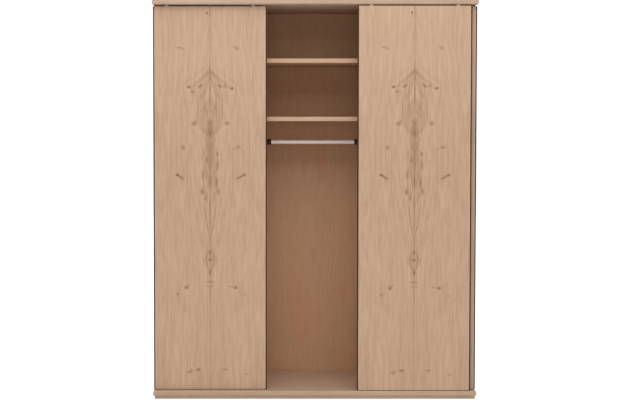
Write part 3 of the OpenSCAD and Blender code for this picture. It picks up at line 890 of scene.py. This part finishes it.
class SubAssembly:
    """A group of pieces that are built and dressed together."""

    def __init__(self, finishes: FinishShelf) -> None:
        """Keeps the finishes at hand."""
        self.finishes = finishes

    def settle(self, piece: Object, body: str, slot: str, finish: str, *nodes: str) -> Object:
        """Dresses a new piece and fastens it to its body.

        Args:
            piece: The new piece.
            body: The CAD body it moves with.
            slot: Not used.
            finish: Name of its finish.
            *nodes: CAD nodes that it stands for.

        Returns:
            The piece.
        """
        piece.data.materials.clear()
        piece.data.materials.append(self.finishes[finish])
        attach(piece, body)
        if nodes:
            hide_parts(*nodes)
        LOG.info("%s: %d faces, on %s", piece.name, len(piece.data.polygons), body)
        return piece

    def dress(self, node: str, finish: str) -> None:
        """Gives a CAD node that is shown as it is a better material."""
        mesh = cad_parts[node].data
        mesh.materials.clear()
        mesh.materials.append(self.finishes[finish])
        LOG.info("%s: dressed in %s", node, finish)

    def ease(self, node: str, body: str, slot: str, finish: str, width: float, segments: int = 2) -> Object:
        """Makes a copy of a CAD node with its loose triangles merged and its sharp edges eased.

        Args:
            node: The CAD node that the copy stands for.
            body: The CAD body it moves with.
            slot: Not used; it is passed on to settle, which ignores it.
            finish: Name of its finish.
            width: How far each edge is eased, in metres.
            segments: Facets across an eased edge.

        Returns:
            The eased piece.
        """
        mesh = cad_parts[node].data.copy()
        mesh.name = f"{node}_eased"
        shape = bmesh.new()
        shape.from_mesh(mesh)
        bmesh.ops.remove_doubles(shape, verts=shape.verts, dist=0.002 * MM)
        bmesh.ops.dissolve_limit(shape, angle_limit=math.radians(1.0), verts=shape.verts, edges=shape.edges)
        shape.to_mesh(mesh)
        shape.free()
        for spare in [a.name for a in mesh.attributes if a.name == "custom_normal"]:
            mesh.attributes.remove(mesh.attributes[spare])
        mesh.polygons.foreach_set("use_smooth", np.ones(len(mesh.polygons), dtype=bool))
        mesh.set_sharp_from_angle(angle=math.radians(40.0))
        piece = bpy.data.objects.new(f"{node}_eased", mesh)
        bpy.context.scene.collection.objects.link(piece)
        bevel = piece.modifiers.new("eased_edges", "BEVEL")
        bevel.width = width
        bevel.segments = segments
        bevel.limit_method = "ANGLE"
        bevel.angle_limit = math.radians(40.0)
        bevel.harden_normals = True
        return self.settle(piece, body, slot, finish, node)


# ---------------------------------------------------------------- doors


@dataclass(frozen=True)
class Knot:
    """One knot in the veneer, placed from the seam and from the foot of the sheet."""

    across: float
    height: float
    width: float = 6 * MM
    length: float = 7 * MM
    dark: float = 1.0
    swirl: float = 5 * MM
    tilt: float = 0.0


@dataclass(frozen=True)
class SeamSpot:
    """A soft oval on the seam: its height, its two half sizes and its strength."""

    height: float
    across: float
    along: float
    strength: float


@dataclass(frozen=True)
class VeneerFigure:
    """The figure of one book-matched sheet: a long flame on the seam, knots and mottled wood."""

    flame_tip: float = 1.815
    flame_shoulder: float = 1.67
    flame_narrow: float = 1.12
    flame_foot: float = 0.775
    flame_width: float = 115 * MM
    flame_reach: float = 55 * MM
    arm_slope: float = 1.15
    knot_growth: float = 1.15
    seed: int = 7
    crown_width: float = 60 * MM
    crown_reach: float = 70 * MM
    ring_spots: tuple[SeamSpot, ...] = (
        SeamSpot(1.56, 48 * MM, 95 * MM, 34 * MM),
        SeamSpot(0.732, 20 * MM, 38 * MM, 24 * MM),
        SeamSpot(0.592, 16 * MM, 16 * MM, 7 * MM),
    )
    knots: tuple[Knot, ...] = ()

    @staticmethod
    def smooth(value: np.ndarray, low: float, high: float) -> np.ndarray:
        """Rises from 0 at low to 1 at high along 3t^2 - 2t^3."""
        t = np.clip((value - low) / (high - low), 0.0, 1.0)
        return t * t * (3.0 - 2.0 * t)

    @staticmethod
    def bell(across: np.ndarray, height: np.ndarray, centre: tuple[float, float],
             size: tuple[float, float]) -> np.ndarray:
        """A bell of height 1 over a centre: e to the minus the squared distances over the two sizes."""
        return np.exp(-(((across - centre[0]) / size[0]) ** 2) - ((height - centre[1]) / size[1]) ** 2)

    def waves(self, across: np.ndarray, height: np.ndarray) -> np.ndarray:
        """Slow sway of the grain: a sum of long sine waves with seeded directions and phases."""
        chance = np.random.default_rng(self.seed)
        total = np.zeros_like(across)
        for _ in range(12):
            along, sideways = chance.uniform(1.5, 14.0), chance.uniform(-16.0, 16.0)
            phase, size = chance.uniform(0.0, 2.0 * math.pi), chance.uniform(0.5, 1.4) * MM
            total = total + size * np.sin(along * height + sideways * across + phase)
        return total

    def ring(self, apart: np.ndarray, height: np.ndarray) -> np.ndarray:
        """The ring coordinate away from the knots.

        It is the distance from the seam, less the flame's width at that height fading away from the seam,
        less a crown over the flame's tip and an oval, a diamond and a bar on the seam, plus the slow sway.
        The flame opens quickly under its tip, stays full, and closes slowly to its foot.

        Args:
            apart: Distance from the seam.
            height: Height over the sheet's foot.

        Returns:
            The ring coordinate.
        """
        rise = 1.0 - self.smooth(height, self.flame_shoulder, self.flame_tip)
        fall = self.smooth(height, self.flame_foot, self.flame_narrow)
        flame = self.flame_width * rise * fall * np.exp(-apart / self.flame_reach)
        crown = self.crown_width * self.smooth(height, self.flame_tip + 0.35, self.flame_tip - 0.1)
        total = apart - flame - crown * np.exp(-apart / self.crown_reach)
        for spot in self.ring_spots:
            size = (spot.across, spot.along)
            total = total - spot.strength * self.bell(apart, height, (0.0, spot.height), size)
        return total + self.waves(apart, height)

    def figured(self, apart: np.ndarray, height: np.ndarray) -> np.ndarray:
        """How strongly the wood is figured: most beside the seam, from the flame's tip down to its foot."""
        tall = self.smooth(height, 0.55, 1.05) * (1.0 - self.smooth(height, 1.70, 1.86))
        heart = 0.85 * np.exp(-((apart / (62 * MM)) ** 2)) * tall
        shoulder = 0.35 * np.exp(-((apart / (150 * MM)) ** 4)) * tall
        diamond = 0.6 * self.bell(apart, height, (0.0, 0.742), (30 * MM, 50 * MM))
        return np.clip(0.10 + np.maximum(heart, shoulder) + diamond, 0.0, 1.0)

    def ridge(self, distance: np.ndarray, width: float, height: np.ndarray, low: float,
              high: float) -> np.ndarray:
        """A soft line: a bell over the distance from it, fading out below low and above high."""
        ends = self.smooth(height, low - 15 * MM, low + 15 * MM)
        ends = ends * (1.0 - self.smooth(height, high - 15 * MM, high + 15 * MM))
        return np.exp(-((distance / width) ** 2)) * ends

    def shaded(self, apart: np.ndarray, height: np.ndarray) -> np.ndarray:
        """The growth rings that stand out of the figured wood, as soft dark lines.

        They are the chevron under the flame's tip, the oval inside it, two long sides that close in a V, the
        dark heart beside the seam, the diamond under the V and the two short bars under that. A line is a
        bell over the distance from its curve: a slope from the seam for the chevron and the V, and an ellipse
        for the oval and the diamond.

        Args:
            apart: Distance from the seam.
            height: Height over the sheet's foot.

        Returns:
            How dark the shading is, from 0 to 1.
        """
        chevron = self.ridge(apart - self.arm_slope * (1.785 - height), 13 * MM, height, 1.69, 1.785)
        outer = self.ridge(apart - self.arm_slope * (1.835 - height), 12 * MM, height, 1.72, 1.82)
        tip = self.bell(apart, height, (0.0, 1.775), (6 * MM, 45 * MM))
        oval_size = np.sqrt((apart / (66 * MM)) ** 2 + ((height - 1.56) / (125 * MM)) ** 2)
        oval = self.ridge((oval_size - 1.0) * 66 * MM, 7 * MM, height, 1.43, 1.66)
        inner = self.ridge((oval_size - 0.5) * 66 * MM, 6 * MM, height, 1.48, 1.64)
        side_width = (34 * MM) * self.smooth(height, self.flame_foot, 1.12) + 2 * MM
        sides = self.ridge(apart - side_width, 6 * MM, height, self.flame_foot, 1.25)
        heart = self.ridge(apart, 24 * MM, height, 1.05, 1.62)
        seam = self.ridge(apart, 5 * MM, height, 0.30, 1.76)
        diamond_size = apart / (31 * MM) + np.abs(height - 0.722) / (62 * MM)
        diamond = self.ridge((diamond_size - 1.0) * 31 * MM, 7 * MM, height, 0.66, 0.785)
        core = self.bell(apart, height, (0.0, 0.74), (14 * MM, 26 * MM))
        total = 0.34 * chevron + 0.15 * outer + 0.45 * tip + 0.26 * oval + 0.18 * inner + 0.20 * sides
        total = total + 0.14 * heart + 0.20 * seam + 0.28 * diamond + 0.28 * core
        return np.clip(total, 0.0, 0.9)

    def fields(self, across: np.ndarray, height: np.ndarray) -> dict[str, np.ndarray]:
        """Works out the figure at every point of a sheet.

        Each knot adds a bell of its own size and tilt to the knot field, which keeps the largest, and pushes
        the ring coordinate away on both its sides, which bends the grain lines round it.

        Args:
            across: Distance to the right of the seam.
            height: Height over the sheet's foot.

        Returns:
            The fields ring, knot, figure and shade, and the distance from the seam.
        """
        apart = np.abs(across)
        ring = self.ring(apart, height)
        knot = np.zeros_like(across)
        for one in self.knots:
            sideways, up = across - one.across, height - one.height
            turned_x = sideways * math.cos(one.tilt) + up * math.sin(one.tilt)
            turned_z = up * math.cos(one.tilt) - sideways * math.sin(one.tilt)
            near = ((turned_x / one.width) ** 2 + (turned_z / one.length) ** 2) / self.knot_growth**2
            knot = np.maximum(knot, one.dark * np.exp(-0.5 * near))
            swirl = (sideways / (2.6 * one.width)) ** 2 + (up / (4.0 * one.length)) ** 2
            ring = ring + one.swirl * np.exp(-0.5 * swirl) * np.tanh(sideways / (2 * MM))
        figure, shade = self.figured(apart, height), self.shaded(apart, height)
        return {"ring": ring, "knot": knot, "figure": figure, "shade": shade, "apart": apart}


MATCHED_KNOTS = (
    Knot(-0.017, 2.109, 4 * MM, 5 * MM, 0.85, 4 * MM),
    Knot(-0.172, 1.917, 13 * MM, 5 * MM, 0.42, 8 * MM, -0.2),
    Knot(-0.152, 1.909, 6 * MM, 6 * MM, 0.42, 4 * MM),
    Knot(0.150, 1.913, 9 * MM, 8 * MM, 0.42, 8 * MM),
    Knot(0.138, 1.921, 12 * MM, 4 * MM, 0.34, 3 * MM),
    Knot(-0.054, 1.703, 11 * MM, 5 * MM, 0.62, 3 * MM, 0.7),
    Knot(0.055, 1.703, 11 * MM, 5 * MM, 0.62, 3 * MM, -0.7),
    Knot(-0.118, 1.697, 6 * MM, 5 * MM, 0.85, 8 * MM, -0.4),
    Knot(0.123, 1.690, 6 * MM, 5 * MM, 0.90, 8 * MM, 0.3),
    Knot(-0.099, 1.673, 8 * MM, 7 * MM, 0.50, 3 * MM),
    Knot(0.080, 1.700, 6 * MM, 5 * MM, 0.48, 2 * MM),
    Knot(-0.087, 1.494, 11 * MM, 8 * MM, 0.55, 7 * MM),
    Knot(-0.078, 1.508, 9 * MM, 5 * MM, 0.40, 2 * MM, 0.5),
    Knot(0.094, 1.495, 11 * MM, 8 * MM, 0.52, 7 * MM),
    Knot(0.000, 1.434, 6 * MM, 14 * MM, 0.52, 2 * MM),
    Knot(-0.151, 1.361, 7 * MM, 9 * MM, 0.56, 6 * MM),
    Knot(0.158, 1.362, 10 * MM, 7 * MM, 0.48, 6 * MM),
    Knot(0.131, 1.352, 5 * MM, 6 * MM, 0.36, 2 * MM),
    Knot(0.041, 1.323, 5 * MM, 7 * MM, 0.60, 2 * MM),
    Knot(0.042, 1.263, 6 * MM, 20 * MM, 0.50, 4 * MM),
    Knot(0.034, 1.166, 7 * MM, 24 * MM, 0.52, 4 * MM),
    Knot(0.046, 1.112, 7 * MM, 13 * MM, 0.46, 3 * MM),
    Knot(-0.019, 1.288, 5 * MM, 10 * MM, 0.50, 2 * MM),
    Knot(-0.040, 1.205, 5 * MM, 18 * MM, 0.52, 3 * MM),
    Knot(-0.043, 1.111, 7 * MM, 10 * MM, 0.58, 4 * MM),
    Knot(-0.025, 1.078, 5 * MM, 9 * MM, 0.50, 2 * MM),
    Knot(-0.182, 1.205, 8 * MM, 5 * MM, 0.90, 7 * MM, -0.5),
    Knot(-0.168, 1.195, 9 * MM, 4 * MM, 0.68, 2 * MM, -0.5),
    Knot(-0.156, 1.187, 6 * MM, 6 * MM, 0.62, 4 * MM),
    Knot(0.189, 1.206, 8 * MM, 5 * MM, 0.78, 7 * MM, 0.5),
    Knot(0.172, 1.196, 11 * MM, 4 * MM, 0.66, 2 * MM, 0.5),
    Knot(0.156, 1.188, 7 * MM, 5 * MM, 0.60, 4 * MM),
    Knot(-0.001, 0.772, 6 * MM, 8 * MM, 0.62, 1 * MM),
    Knot(-0.001, 0.731, 9 * MM, 5 * MM, 0.62, 1 * MM),
    Knot(0.000, 0.660, 5 * MM, 11 * MM, 0.60, 1 * MM),
    Knot(0.000, 0.605, 16 * MM, 4 * MM, 0.52, 1 * MM),
    Knot(0.002, 0.580, 20 * MM, 3 * MM, 0.40, 1 * MM),
    Knot(-0.134, 0.574, 8 * MM, 7 * MM, 0.68, 7 * MM),
    Knot(-0.120, 0.586, 9 * MM, 4 * MM, 0.40, 2 * MM, 0.6),
    Knot(0.141, 0.574, 8 * MM, 7 * MM, 0.64, 7 * MM),
    Knot(0.118, 0.578, 16 * MM, 3 * MM, 0.44, 2 * MM, -0.2),
    Knot(-0.183, 0.536, 6 * MM, 7 * MM, 0.46, 3 * MM),
    Knot(0.197, 0.532, 5 * MM, 6 * MM, 0.38, 3 * MM),
    Knot(-0.067, 0.110, 9 * MM, 6 * MM, 0.62, 4 * MM),
    Knot(-0.117, 0.096, 10 * MM, 6 * MM, 0.52, 4 * MM),
    Knot(-0.106, 0.106, 8 * MM, 4 * MM, 0.42, 2 * MM),
    Knot(0.084, 0.110, 12 * MM, 4 * MM, 0.50, 4 * MM),
    Knot(0.204, 0.086, 7 * MM, 6 * MM, 0.36, 4 * MM),
)


@dataclass(frozen=True)
class DoorSizes:
    """Sizes of what is added to a door."""

    veneer: float = 0.6 * MM
    columns: int = 173
    rows: int = 473
    knot_dip: float = 0.12 * MM
    lip_round: float = 0.5 * MM
    edge_round: float = 2.0 * MM
    grip_depth: float = 0.9 * MM
    grip_width: float = 9.0 * MM
    core_ease: float = 0.3 * MM
    fitting_ease: float = 0.35 * MM


class Door(SubAssembly):
    """One sliding door: veneer sheet, core, edge profiles, guides and rollers."""

    def __init__(self, finishes: FinishShelf, name: str, figure: VeneerFigure) -> None:
        """Reads the door's places from the frame.

        Args:
            finishes: The finishes.
            name: The door's body, such as left_door.
            figure: The figure of its veneer.
        """
        super().__init__(finishes)
        self.name = name
        self.figure = figure
        self.sizes = DoorSizes()
        self.panel_low, self.panel_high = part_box(f"{name}_panel")

    def build(self) -> None:
        """Builds and dresses the whole door."""
        self.veneer_sheet()
        self.ease(f"{self.name}_panel", self.name, "door_veneer", "door_core", self.sizes.core_ease)
        for side in ("left", "right"):
            self.edge_profile(side)
            self.wheel(side)
        self.ease(f"{self.name}_top_guides", self.name, "nylon", "nylon", self.sizes.fitting_ease)
        self.ease(f"{self.name}_roller_housings", self.name, "black_plastic", "black_plastic",
                  self.sizes.fitting_ease)
        self.dress(f"{self.name}_axles", "zinc_steel")
        self.dress(f"{self.name}_screws", "zinc_steel")

    def veneer_sheet(self) -> Object:
        """Makes the veneer on the door's face.

        The sheet is a grid between the two edge profiles, one column of which lies on the seam. Its face
        dips a little at each knot. A rim joins it to a flat back on the core.

        Returns:
            The sheet.
        """
        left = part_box(f"{self.name}_left_profile")[1].x
        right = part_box(f"{self.name}_right_profile")[0].x
        foot, head = self.panel_low.z, self.panel_high.z
        core_face = self.panel_low.y
        middle = (left + right) / 2.0
        x, z = np.meshgrid(np.linspace(left, right, self.sizes.columns),
                           np.linspace(foot, head, self.sizes.rows))
        fields = self.figure.fields(x - middle, z - foot)
        dip = self.sizes.knot_dip * fields["knot"]
        face = np.stack([x, core_face - self.sizes.veneer + dip, z], axis=-1)
        rows, columns = self.sizes.rows, self.sizes.columns
        number = np.arange(rows * columns).reshape(rows, columns)
        rim = np.concatenate([number[0], number[1:, -1], number[-1, -2::-1], number[-2:0:-1, 0]])
        face_points = face.reshape(-1, 3)
        back_points = face_points[rim].copy()
        back_points[:, 1] = core_face
        shift = len(face_points)
        count = len(rim)
        after = (np.arange(count) + 1) % count
        wall = np.stack([rim, np.arange(count) + shift, after + shift, rim[after]], axis=-1)
        faces = grid_quads(rows, columns).tolist() + wall.tolist()
        faces.append((np.arange(count)[::-1] + shift).tolist())
        surface = Surface(np.vstack([face_points, back_points]), faces).facing_out()
        piece = surface.object(f"{self.name}_veneer_sheet")
        order = np.concatenate([np.arange(shift), rim])
        spots = np.stack([fields["ring"], z - foot, fields["apart"]], axis=-1).reshape(-1, 3)[order]
        veneer = piece.data.attributes.new("veneer", "FLOAT_VECTOR", "POINT")
        veneer.data.foreach_set("vector", spots.astype(np.float32).ravel())
        for name in ("knot", "figure", "shade"):
            store = piece.data.attributes.new(name, "FLOAT", "POINT")
            store.data.foreach_set("value", fields[name].reshape(-1)[order].astype(np.float32))
        return self.settle(piece, self.name, "door_veneer", "door_veneer")

    def edge_profile(self, side: str) -> Object:
        """Makes an edge profile: a channel round the core's edge, with rounded lips and a finger groove.

        Args:
            side: left or right.

        Returns:
            The profile.
        """
        node = f"{self.name}_{side}_profile"
        low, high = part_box(node)
        width = high.x - low.x
        front, back = low.y, high.y
        inner_front, inner_back = self.panel_low.y, self.panel_high.y
        wall = inner_front - front
        middle = (front + back) / 2.0
        groove, depth = self.sizes.grip_width / 2.0, self.sizes.grip_depth
        lip, edge = self.sizes.lip_round, self.sizes.edge_round
        corners = [
            (width, front, lip), (width, inner_front, lip * 0.4), (wall, inner_front, 0.0),
            (wall, inner_back, 0.0), (width, inner_back, lip * 0.4), (width, back, lip),
            (0.0, back, edge), (0.0, middle + groove, lip), (depth, middle + groove * 0.7, lip),
            (depth, middle - groove * 0.7, lip), (0.0, middle - groove, lip), (0.0, front, edge),
        ]
        section = rounded(corners)
        if side == "left":
            section[:, 0] += low.x
        else:
            section[:, 0] = high.x - section[:, 0]
        heights = np.linspace(low.z, high.z, 9)
        piece = swept(section, heights).object(node + "_grip")
        return self.settle(piece, self.name, "profile_bronze", "profile_bronze", node)

    def wheel(self, side: str) -> Object:
        """Makes a wheel: a tread with rounded shoulders, a dished web and a hub round the bore.

        Args:
            side: left or right.

        Returns:
            The wheel.
        """
        node = f"{self.name}_{side}_wheel"
        low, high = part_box(node)
        axle_low, axle_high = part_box(f"{self.name}_axles")
        radius = (high.z - low.z) / 2.0
        half = (high.y - low.y) / 2.0
        bore = (axle_high.z - axle_low.z) / 2.0 + 0.05 * MM
        dish = half - 0.9 * MM
        corners = [
            (-half, bore, 0.2 * MM), (-half, radius * 0.40, 0.3 * MM), (-dish, radius * 0.48, 0.3 * MM),
            (-dish, radius * 0.74, 0.3 * MM), (-half, radius * 0.80, 0.3 * MM), (-half, radius, 1.2 * MM),
            (half, radius, 1.2 * MM), (half, radius * 0.80, 0.3 * MM), (dish, radius * 0.74, 0.3 * MM),
            (dish, radius * 0.48, 0.3 * MM), (half, radius * 0.40, 0.3 * MM), (half, bore, 0.2 * MM),
        ]
        centre = ((low.x + high.x) / 2.0, (low.y + high.y) / 2.0, (low.z + high.z) / 2.0)
        piece = turned(rounded(corners, 4), centre, Axle.Y).object(node + "_turned")
        return self.settle(piece, f"{self.name}_{side}_roller", "nylon", "nylon", node)


# ---------------------------------------------------------------- carcass and interior


@dataclass(frozen=True)
class Board:
    """How one board of the carcass is dressed."""

    node: str
    slot: str
    finish: str
    ease: float = 0.6 * MM


class Carcass(SubAssembly):
    """Boards, panels, plinth, tracks and their hidden fittings."""

    body = "carcass"
    boards = (
        Board("top_board", "board_oak", "board_along_x"),
        Board("base_board", "board_oak", "board_along_x"),
        Board("front_plinth_rail", "board_oak", "board_along_x"),
        Board("back_plinth_rail", "board_oak", "board_along_x"),
        Board("left_plinth_rail", "board_oak", "board_along_y"),
        Board("right_plinth_rail", "board_oak", "board_along_y"),
        Board("cross_plinth_rails", "board_oak", "board_along_y"),
        Board("left_side_panel", "side_oak", "side_oak"),
        Board("right_side_panel", "side_oak", "side_oak"),
        Board("left_partition", "interior_oak", "interior_upright"),
        Board("right_partition", "interior_oak", "interior_upright"),
        Board("left_back_panel", "back_panel_oak", "back_panel_oak", 0.2 * MM),
        Board("centre_back_panel", "back_panel_oak", "back_panel_oak", 0.2 * MM),
        Board("right_back_panel", "back_panel_oak", "back_panel_oak", 0.2 * MM),
        Board("front_top_track", "track_aluminium", "track_aluminium", 0.2 * MM),
        Board("rear_top_track", "track_aluminium", "track_aluminium", 0.2 * MM),
        Board("front_bottom_track", "track_aluminium", "track_aluminium", 0.2 * MM),
        Board("rear_bottom_track", "track_aluminium", "track_aluminium", 0.2 * MM),
        Board("track_stops", "stop_rubber", "stop_rubber", 0.6 * MM),
    )
    fittings = {
        "dowels": "beech", "cam_bolts": "zinc_steel", "cam_locks": "zinc_steel", "back_nails": "zinc_steel",
        "fixing_screws": "zinc_steel",
    }

    def build(self) -> None:
        """Eases and dresses every board, then dresses the fittings."""
        for board in self.boards:
            self.ease(board.node, self.body, board.slot, board.finish, board.ease)
        for node, finish in self.fittings.items():
            self.dress(node, finish)


@dataclass(frozen=True)
class InteriorSizes:
    """Sizes of what is added to shelves, rails and brackets."""

    shelf_ease: float = 1.0 * MM
    tube_wall: float = 1.2 * MM
    tube_lip: float = 0.4 * MM
    flange: float = 3.7 * MM
    cup_length: float = 46 * MM
    cup_floor: float = 6 * MM
    cup_wall: float = 2.95 * MM
    cup_play: float = 0.05 * MM
    hub: float = 0.3 * MM


class Interior(SubAssembly):
    """Shelves with their pins, and hanging rails with their brackets."""

    body = "carcass"
    shelves = ("centre_upper_shelf", "centre_lower_shelf", "left_shelf", "right_shelf")
    rails = ("centre_hanging_rail", "left_hanging_rail", "right_hanging_rail")
    sizes = InteriorSizes()

    def build(self) -> None:
        """Builds the rails and brackets and eases the shelves."""
        for shelf in self.shelves:
            self.ease(shelf, self.body, "interior_oak", "interior_shelf", self.sizes.shelf_ease, 3)
        self.dress("shelf_pins", "zinc_steel")
        for rail in self.rails:
            self.rail(rail)
        self.brackets()

    def rail(self, node: str) -> Object:
        """Makes a hanging rail: a tube turned about X, with its two ends rolled over."""
        low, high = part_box(node)
        radius = (high.z - low.z) / 2.0
        half = (high.x - low.x) / 2.0
        inner = radius - self.sizes.tube_wall
        ease = self.sizes.tube_lip
        corners = [(-half, inner, ease), (-half, radius, ease), (half, radius, ease), (half, inner, ease)]
        section = self.filled(rounded(corners, 4), 24)
        centre = ((low.x + high.x) / 2.0, (low.y + high.y) / 2.0, (low.z + high.z) / 2.0)
        piece = turned(section, centre, Axle.X, 72).object(node + "_tube")
        return self.settle(piece, self.body, "rail_steel", "rail_steel", node)

    @staticmethod
    def filled(section: np.ndarray, parts: int) -> np.ndarray:
        """The same closed outline with its two long sides cut into equal parts."""
        after = np.roll(section, -1, axis=0)
        long = np.linalg.norm(after - section, axis=1) > 0.1
        steps = np.where(long, parts, 1)
        start = np.repeat(section, steps, axis=0)
        end = np.repeat(after, steps, axis=0)
        place = np.arange(len(start)) - np.repeat(np.cumsum(steps) - steps, steps)
        share = (place / np.repeat(steps, steps))[:, None]
        return start + (end - start) * share

    def brackets(self) -> Object:
        """Makes the rail brackets: a round flange, a straight cup and a rolled mouth at each rail's end."""
        flange_low, flange_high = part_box("rail_brackets")
        flange_r = (flange_high.y - flange_low.y) / 2.0
        flange_t, length, end = self.sizes.flange, self.sizes.cup_length, self.sizes.cup_floor
        hub = self.sizes.hub
        whole = None
        for node in self.rails:
            low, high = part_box(node)
            bore = (high.z - low.z) / 2.0 + self.sizes.cup_play
            cup = bore + self.sizes.cup_wall
            for side in (-1.0, 1.0):
                face = (high.x if side > 0 else low.x) + side * end
                corners = [
                    (0.0, hub, 0.0), (0.0, flange_r, 0.3 * MM), (flange_t, flange_r, 1.2 * MM),
                    (flange_t, cup, 1.5 * MM), (length, cup, 1.0 * MM), (length, bore, 0.8 * MM),
                    (end, bore, 0.5 * MM), (end, hub, 0.0),
                ]
                section = rounded(corners, 5)
                section[:, 0] *= -side
                centre = (face, (low.y + high.y) / 2.0, (low.z + high.z) / 2.0)
                one = turned(section, centre, Axle.X, 48)
                whole = one if whole is None else whole.joined(one)
        piece = whole.object("rail_bracket_cups")
        return self.settle(piece, self.body, "black_plastic", "black_plastic", "rail_brackets")


# ---------------------------------------------------------------- studio


@dataclass(frozen=True)
class Lamp:
    """One soft rectangular light."""

    name: str
    place: tuple[float, float, float]
    aim: tuple[float, float, float]
    size: tuple[float, float]
    power: float


@dataclass(frozen=True)
class Studio:
    """Camera, floor and light."""

    distance: float = 7.2
    camera_x: float = -0.300
    camera_z: float = 1.547
    tilt: float = 2.2
    lens: float = 73.85
    shift: tuple[float, float] = (0.0860, -0.0432)
    sky: float = 0.48
    floor_glow: float = 0.85
    floor_tone: tuple[float, float, float] = (238, 238, 237)
    floor_half: float = 14.0
    sky_seen: float = 1.05
    lamps: tuple[Lamp, ...] = (
        Lamp("front_soft", (-0.24, -5.8, 1.4), (0.0, 0.0, 1.1), (1.5, 1.5), 23.0),
        Lamp("over_soft", (0.0, -1.2, 5.5), (0.0, 0.0, 1.2), (6.0, 4.0), 86.0),
        Lamp("high_soft", (0.0, -4.5, 4.5), (0.0, 0.0, 1.2), (4.0, 3.0), 95.0),
    )

    def build(self) -> None:
        """Sets up camera, sky, floor and lights."""
        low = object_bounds()[0]
        self.camera(low.y)
        self.world()
        self.floor()
        for lamp in self.lamps:
            self.light(lamp)

    def camera(self, front: float) -> None:
        """Places the camera in front of the wardrobe, tilted a little down and shifted for the rest."""
        data = bpy.data.cameras.new("camera")
        data.lens = self.lens
        data.shift_x, data.shift_y = self.shift
        camera = bpy.data.objects.new("camera", data)
        camera.location = (self.camera_x, front - self.distance, self.camera_z)
        camera.rotation_euler = (math.radians(90.0 - self.tilt), 0.0, 0.0)
        bpy.context.scene.collection.objects.link(camera)
        bpy.context.scene.camera = camera

    def world(self) -> None:
        """Makes an even white sky: brighter to the camera than to the object, so that it stays white."""
        world = bpy.data.worlds.new("white_studio")
        world.use_nodes = True
        wires = Wiring(world.node_tree)
        output = wires.add("ShaderNodeOutputWorld")
        lit = wires.add("ShaderNodeBackground")
        lit.inputs["Strength"].default_value = self.sky
        seen = wires.add("ShaderNodeBackground")
        seen.inputs["Strength"].default_value = self.sky_seen
        for shade in (lit, seen):
            shade.inputs["Color"].default_value = (1.0, 1.0, 1.0, 1.0)
        path = wires.add("ShaderNodeLightPath")
        choice = wires.add("ShaderNodeMixShader")
        wires.put(path.outputs["Is Camera Ray"], choice.inputs[0])
        wires.put(lit.outputs[0], choice.inputs[1])
        wires.put(seen.outputs[0], choice.inputs[2])
        wires.put(choice.outputs[0], output.inputs["Surface"])
        bpy.context.scene.world = world
        bpy.context.scene.view_settings.view_transform = "Standard"

    def floor(self) -> None:
        """Lays the pale floor, a grid of points level with the wardrobe's foot."""
        line = np.linspace(-self.floor_half, self.floor_half, 9)
        x, y = np.meshgrid(line, line)
        points = np.stack([x, y, np.zeros_like(x)], axis=-1).reshape(-1, 3)
        piece = Surface(points, grid_quads(9, 9).tolist()).object("pale_floor")
        material = bpy.data.materials.new("pale_floor")
        material.use_nodes = True
        wires = Wiring(material.node_tree)
        shader = wires.add("ShaderNodeBsdfPrincipled")
        shader.inputs["Base Color"].default_value = tone(*self.floor_tone)
        shader.inputs["Roughness"].default_value = 0.9
        shader.inputs["Specular IOR Level"].default_value = 0.1
        glow = wires.add("ShaderNodeEmission")
        path = wires.add("ShaderNodeLightPath")
        wires.put(wires.math("MULTIPLY", path.outputs["Is Camera Ray"], self.floor_glow),
                  glow.inputs["Strength"])
        both = wires.add("ShaderNodeAddShader")
        wires.put(shader.outputs[0], both.inputs[0])
        wires.put(glow.outputs[0], both.inputs[1])
        output = wires.add("ShaderNodeOutputMaterial")
        wires.put(both.outputs[0], output.inputs["Surface"])
        piece.data.materials.append(material)
        piece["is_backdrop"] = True

    def light(self, lamp: Lamp) -> None:
        """Hangs one soft light, turned to its aim and hidden from the camera."""
        data = bpy.data.lights.new(lamp.name, "AREA")
        data.shape = "RECTANGLE"
        data.size, data.size_y = lamp.size
        data.energy = lamp.power
        lit = bpy.data.objects.new(lamp.name, data)
        lit.location = lamp.place
        lit.visible_camera = False
        way = np.array(lamp.aim) - np.array(lamp.place)
        flat = math.hypot(way[0], way[1])
        lit.rotation_euler = (math.atan2(flat, -way[2]), 0.0, math.atan2(way[1], way[0]) - math.pi / 2.0)
        bpy.context.scene.collection.objects.link(lit)


def main() -> None:
    logging.basicConfig(level=logging.INFO, format="%(name)s: %(message)s")
    Studio().build()
    finishes = FinishShelf()
    Carcass(finishes).build()
    Interior(finishes).build()
    for name in ("left_door", "middle_door", "right_door"):
        Door(finishes, name, VeneerFigure(knots=MATCHED_KNOTS)).build()
    bpy.context.view_layer.update()


if __name__ == "__main__":
    main()
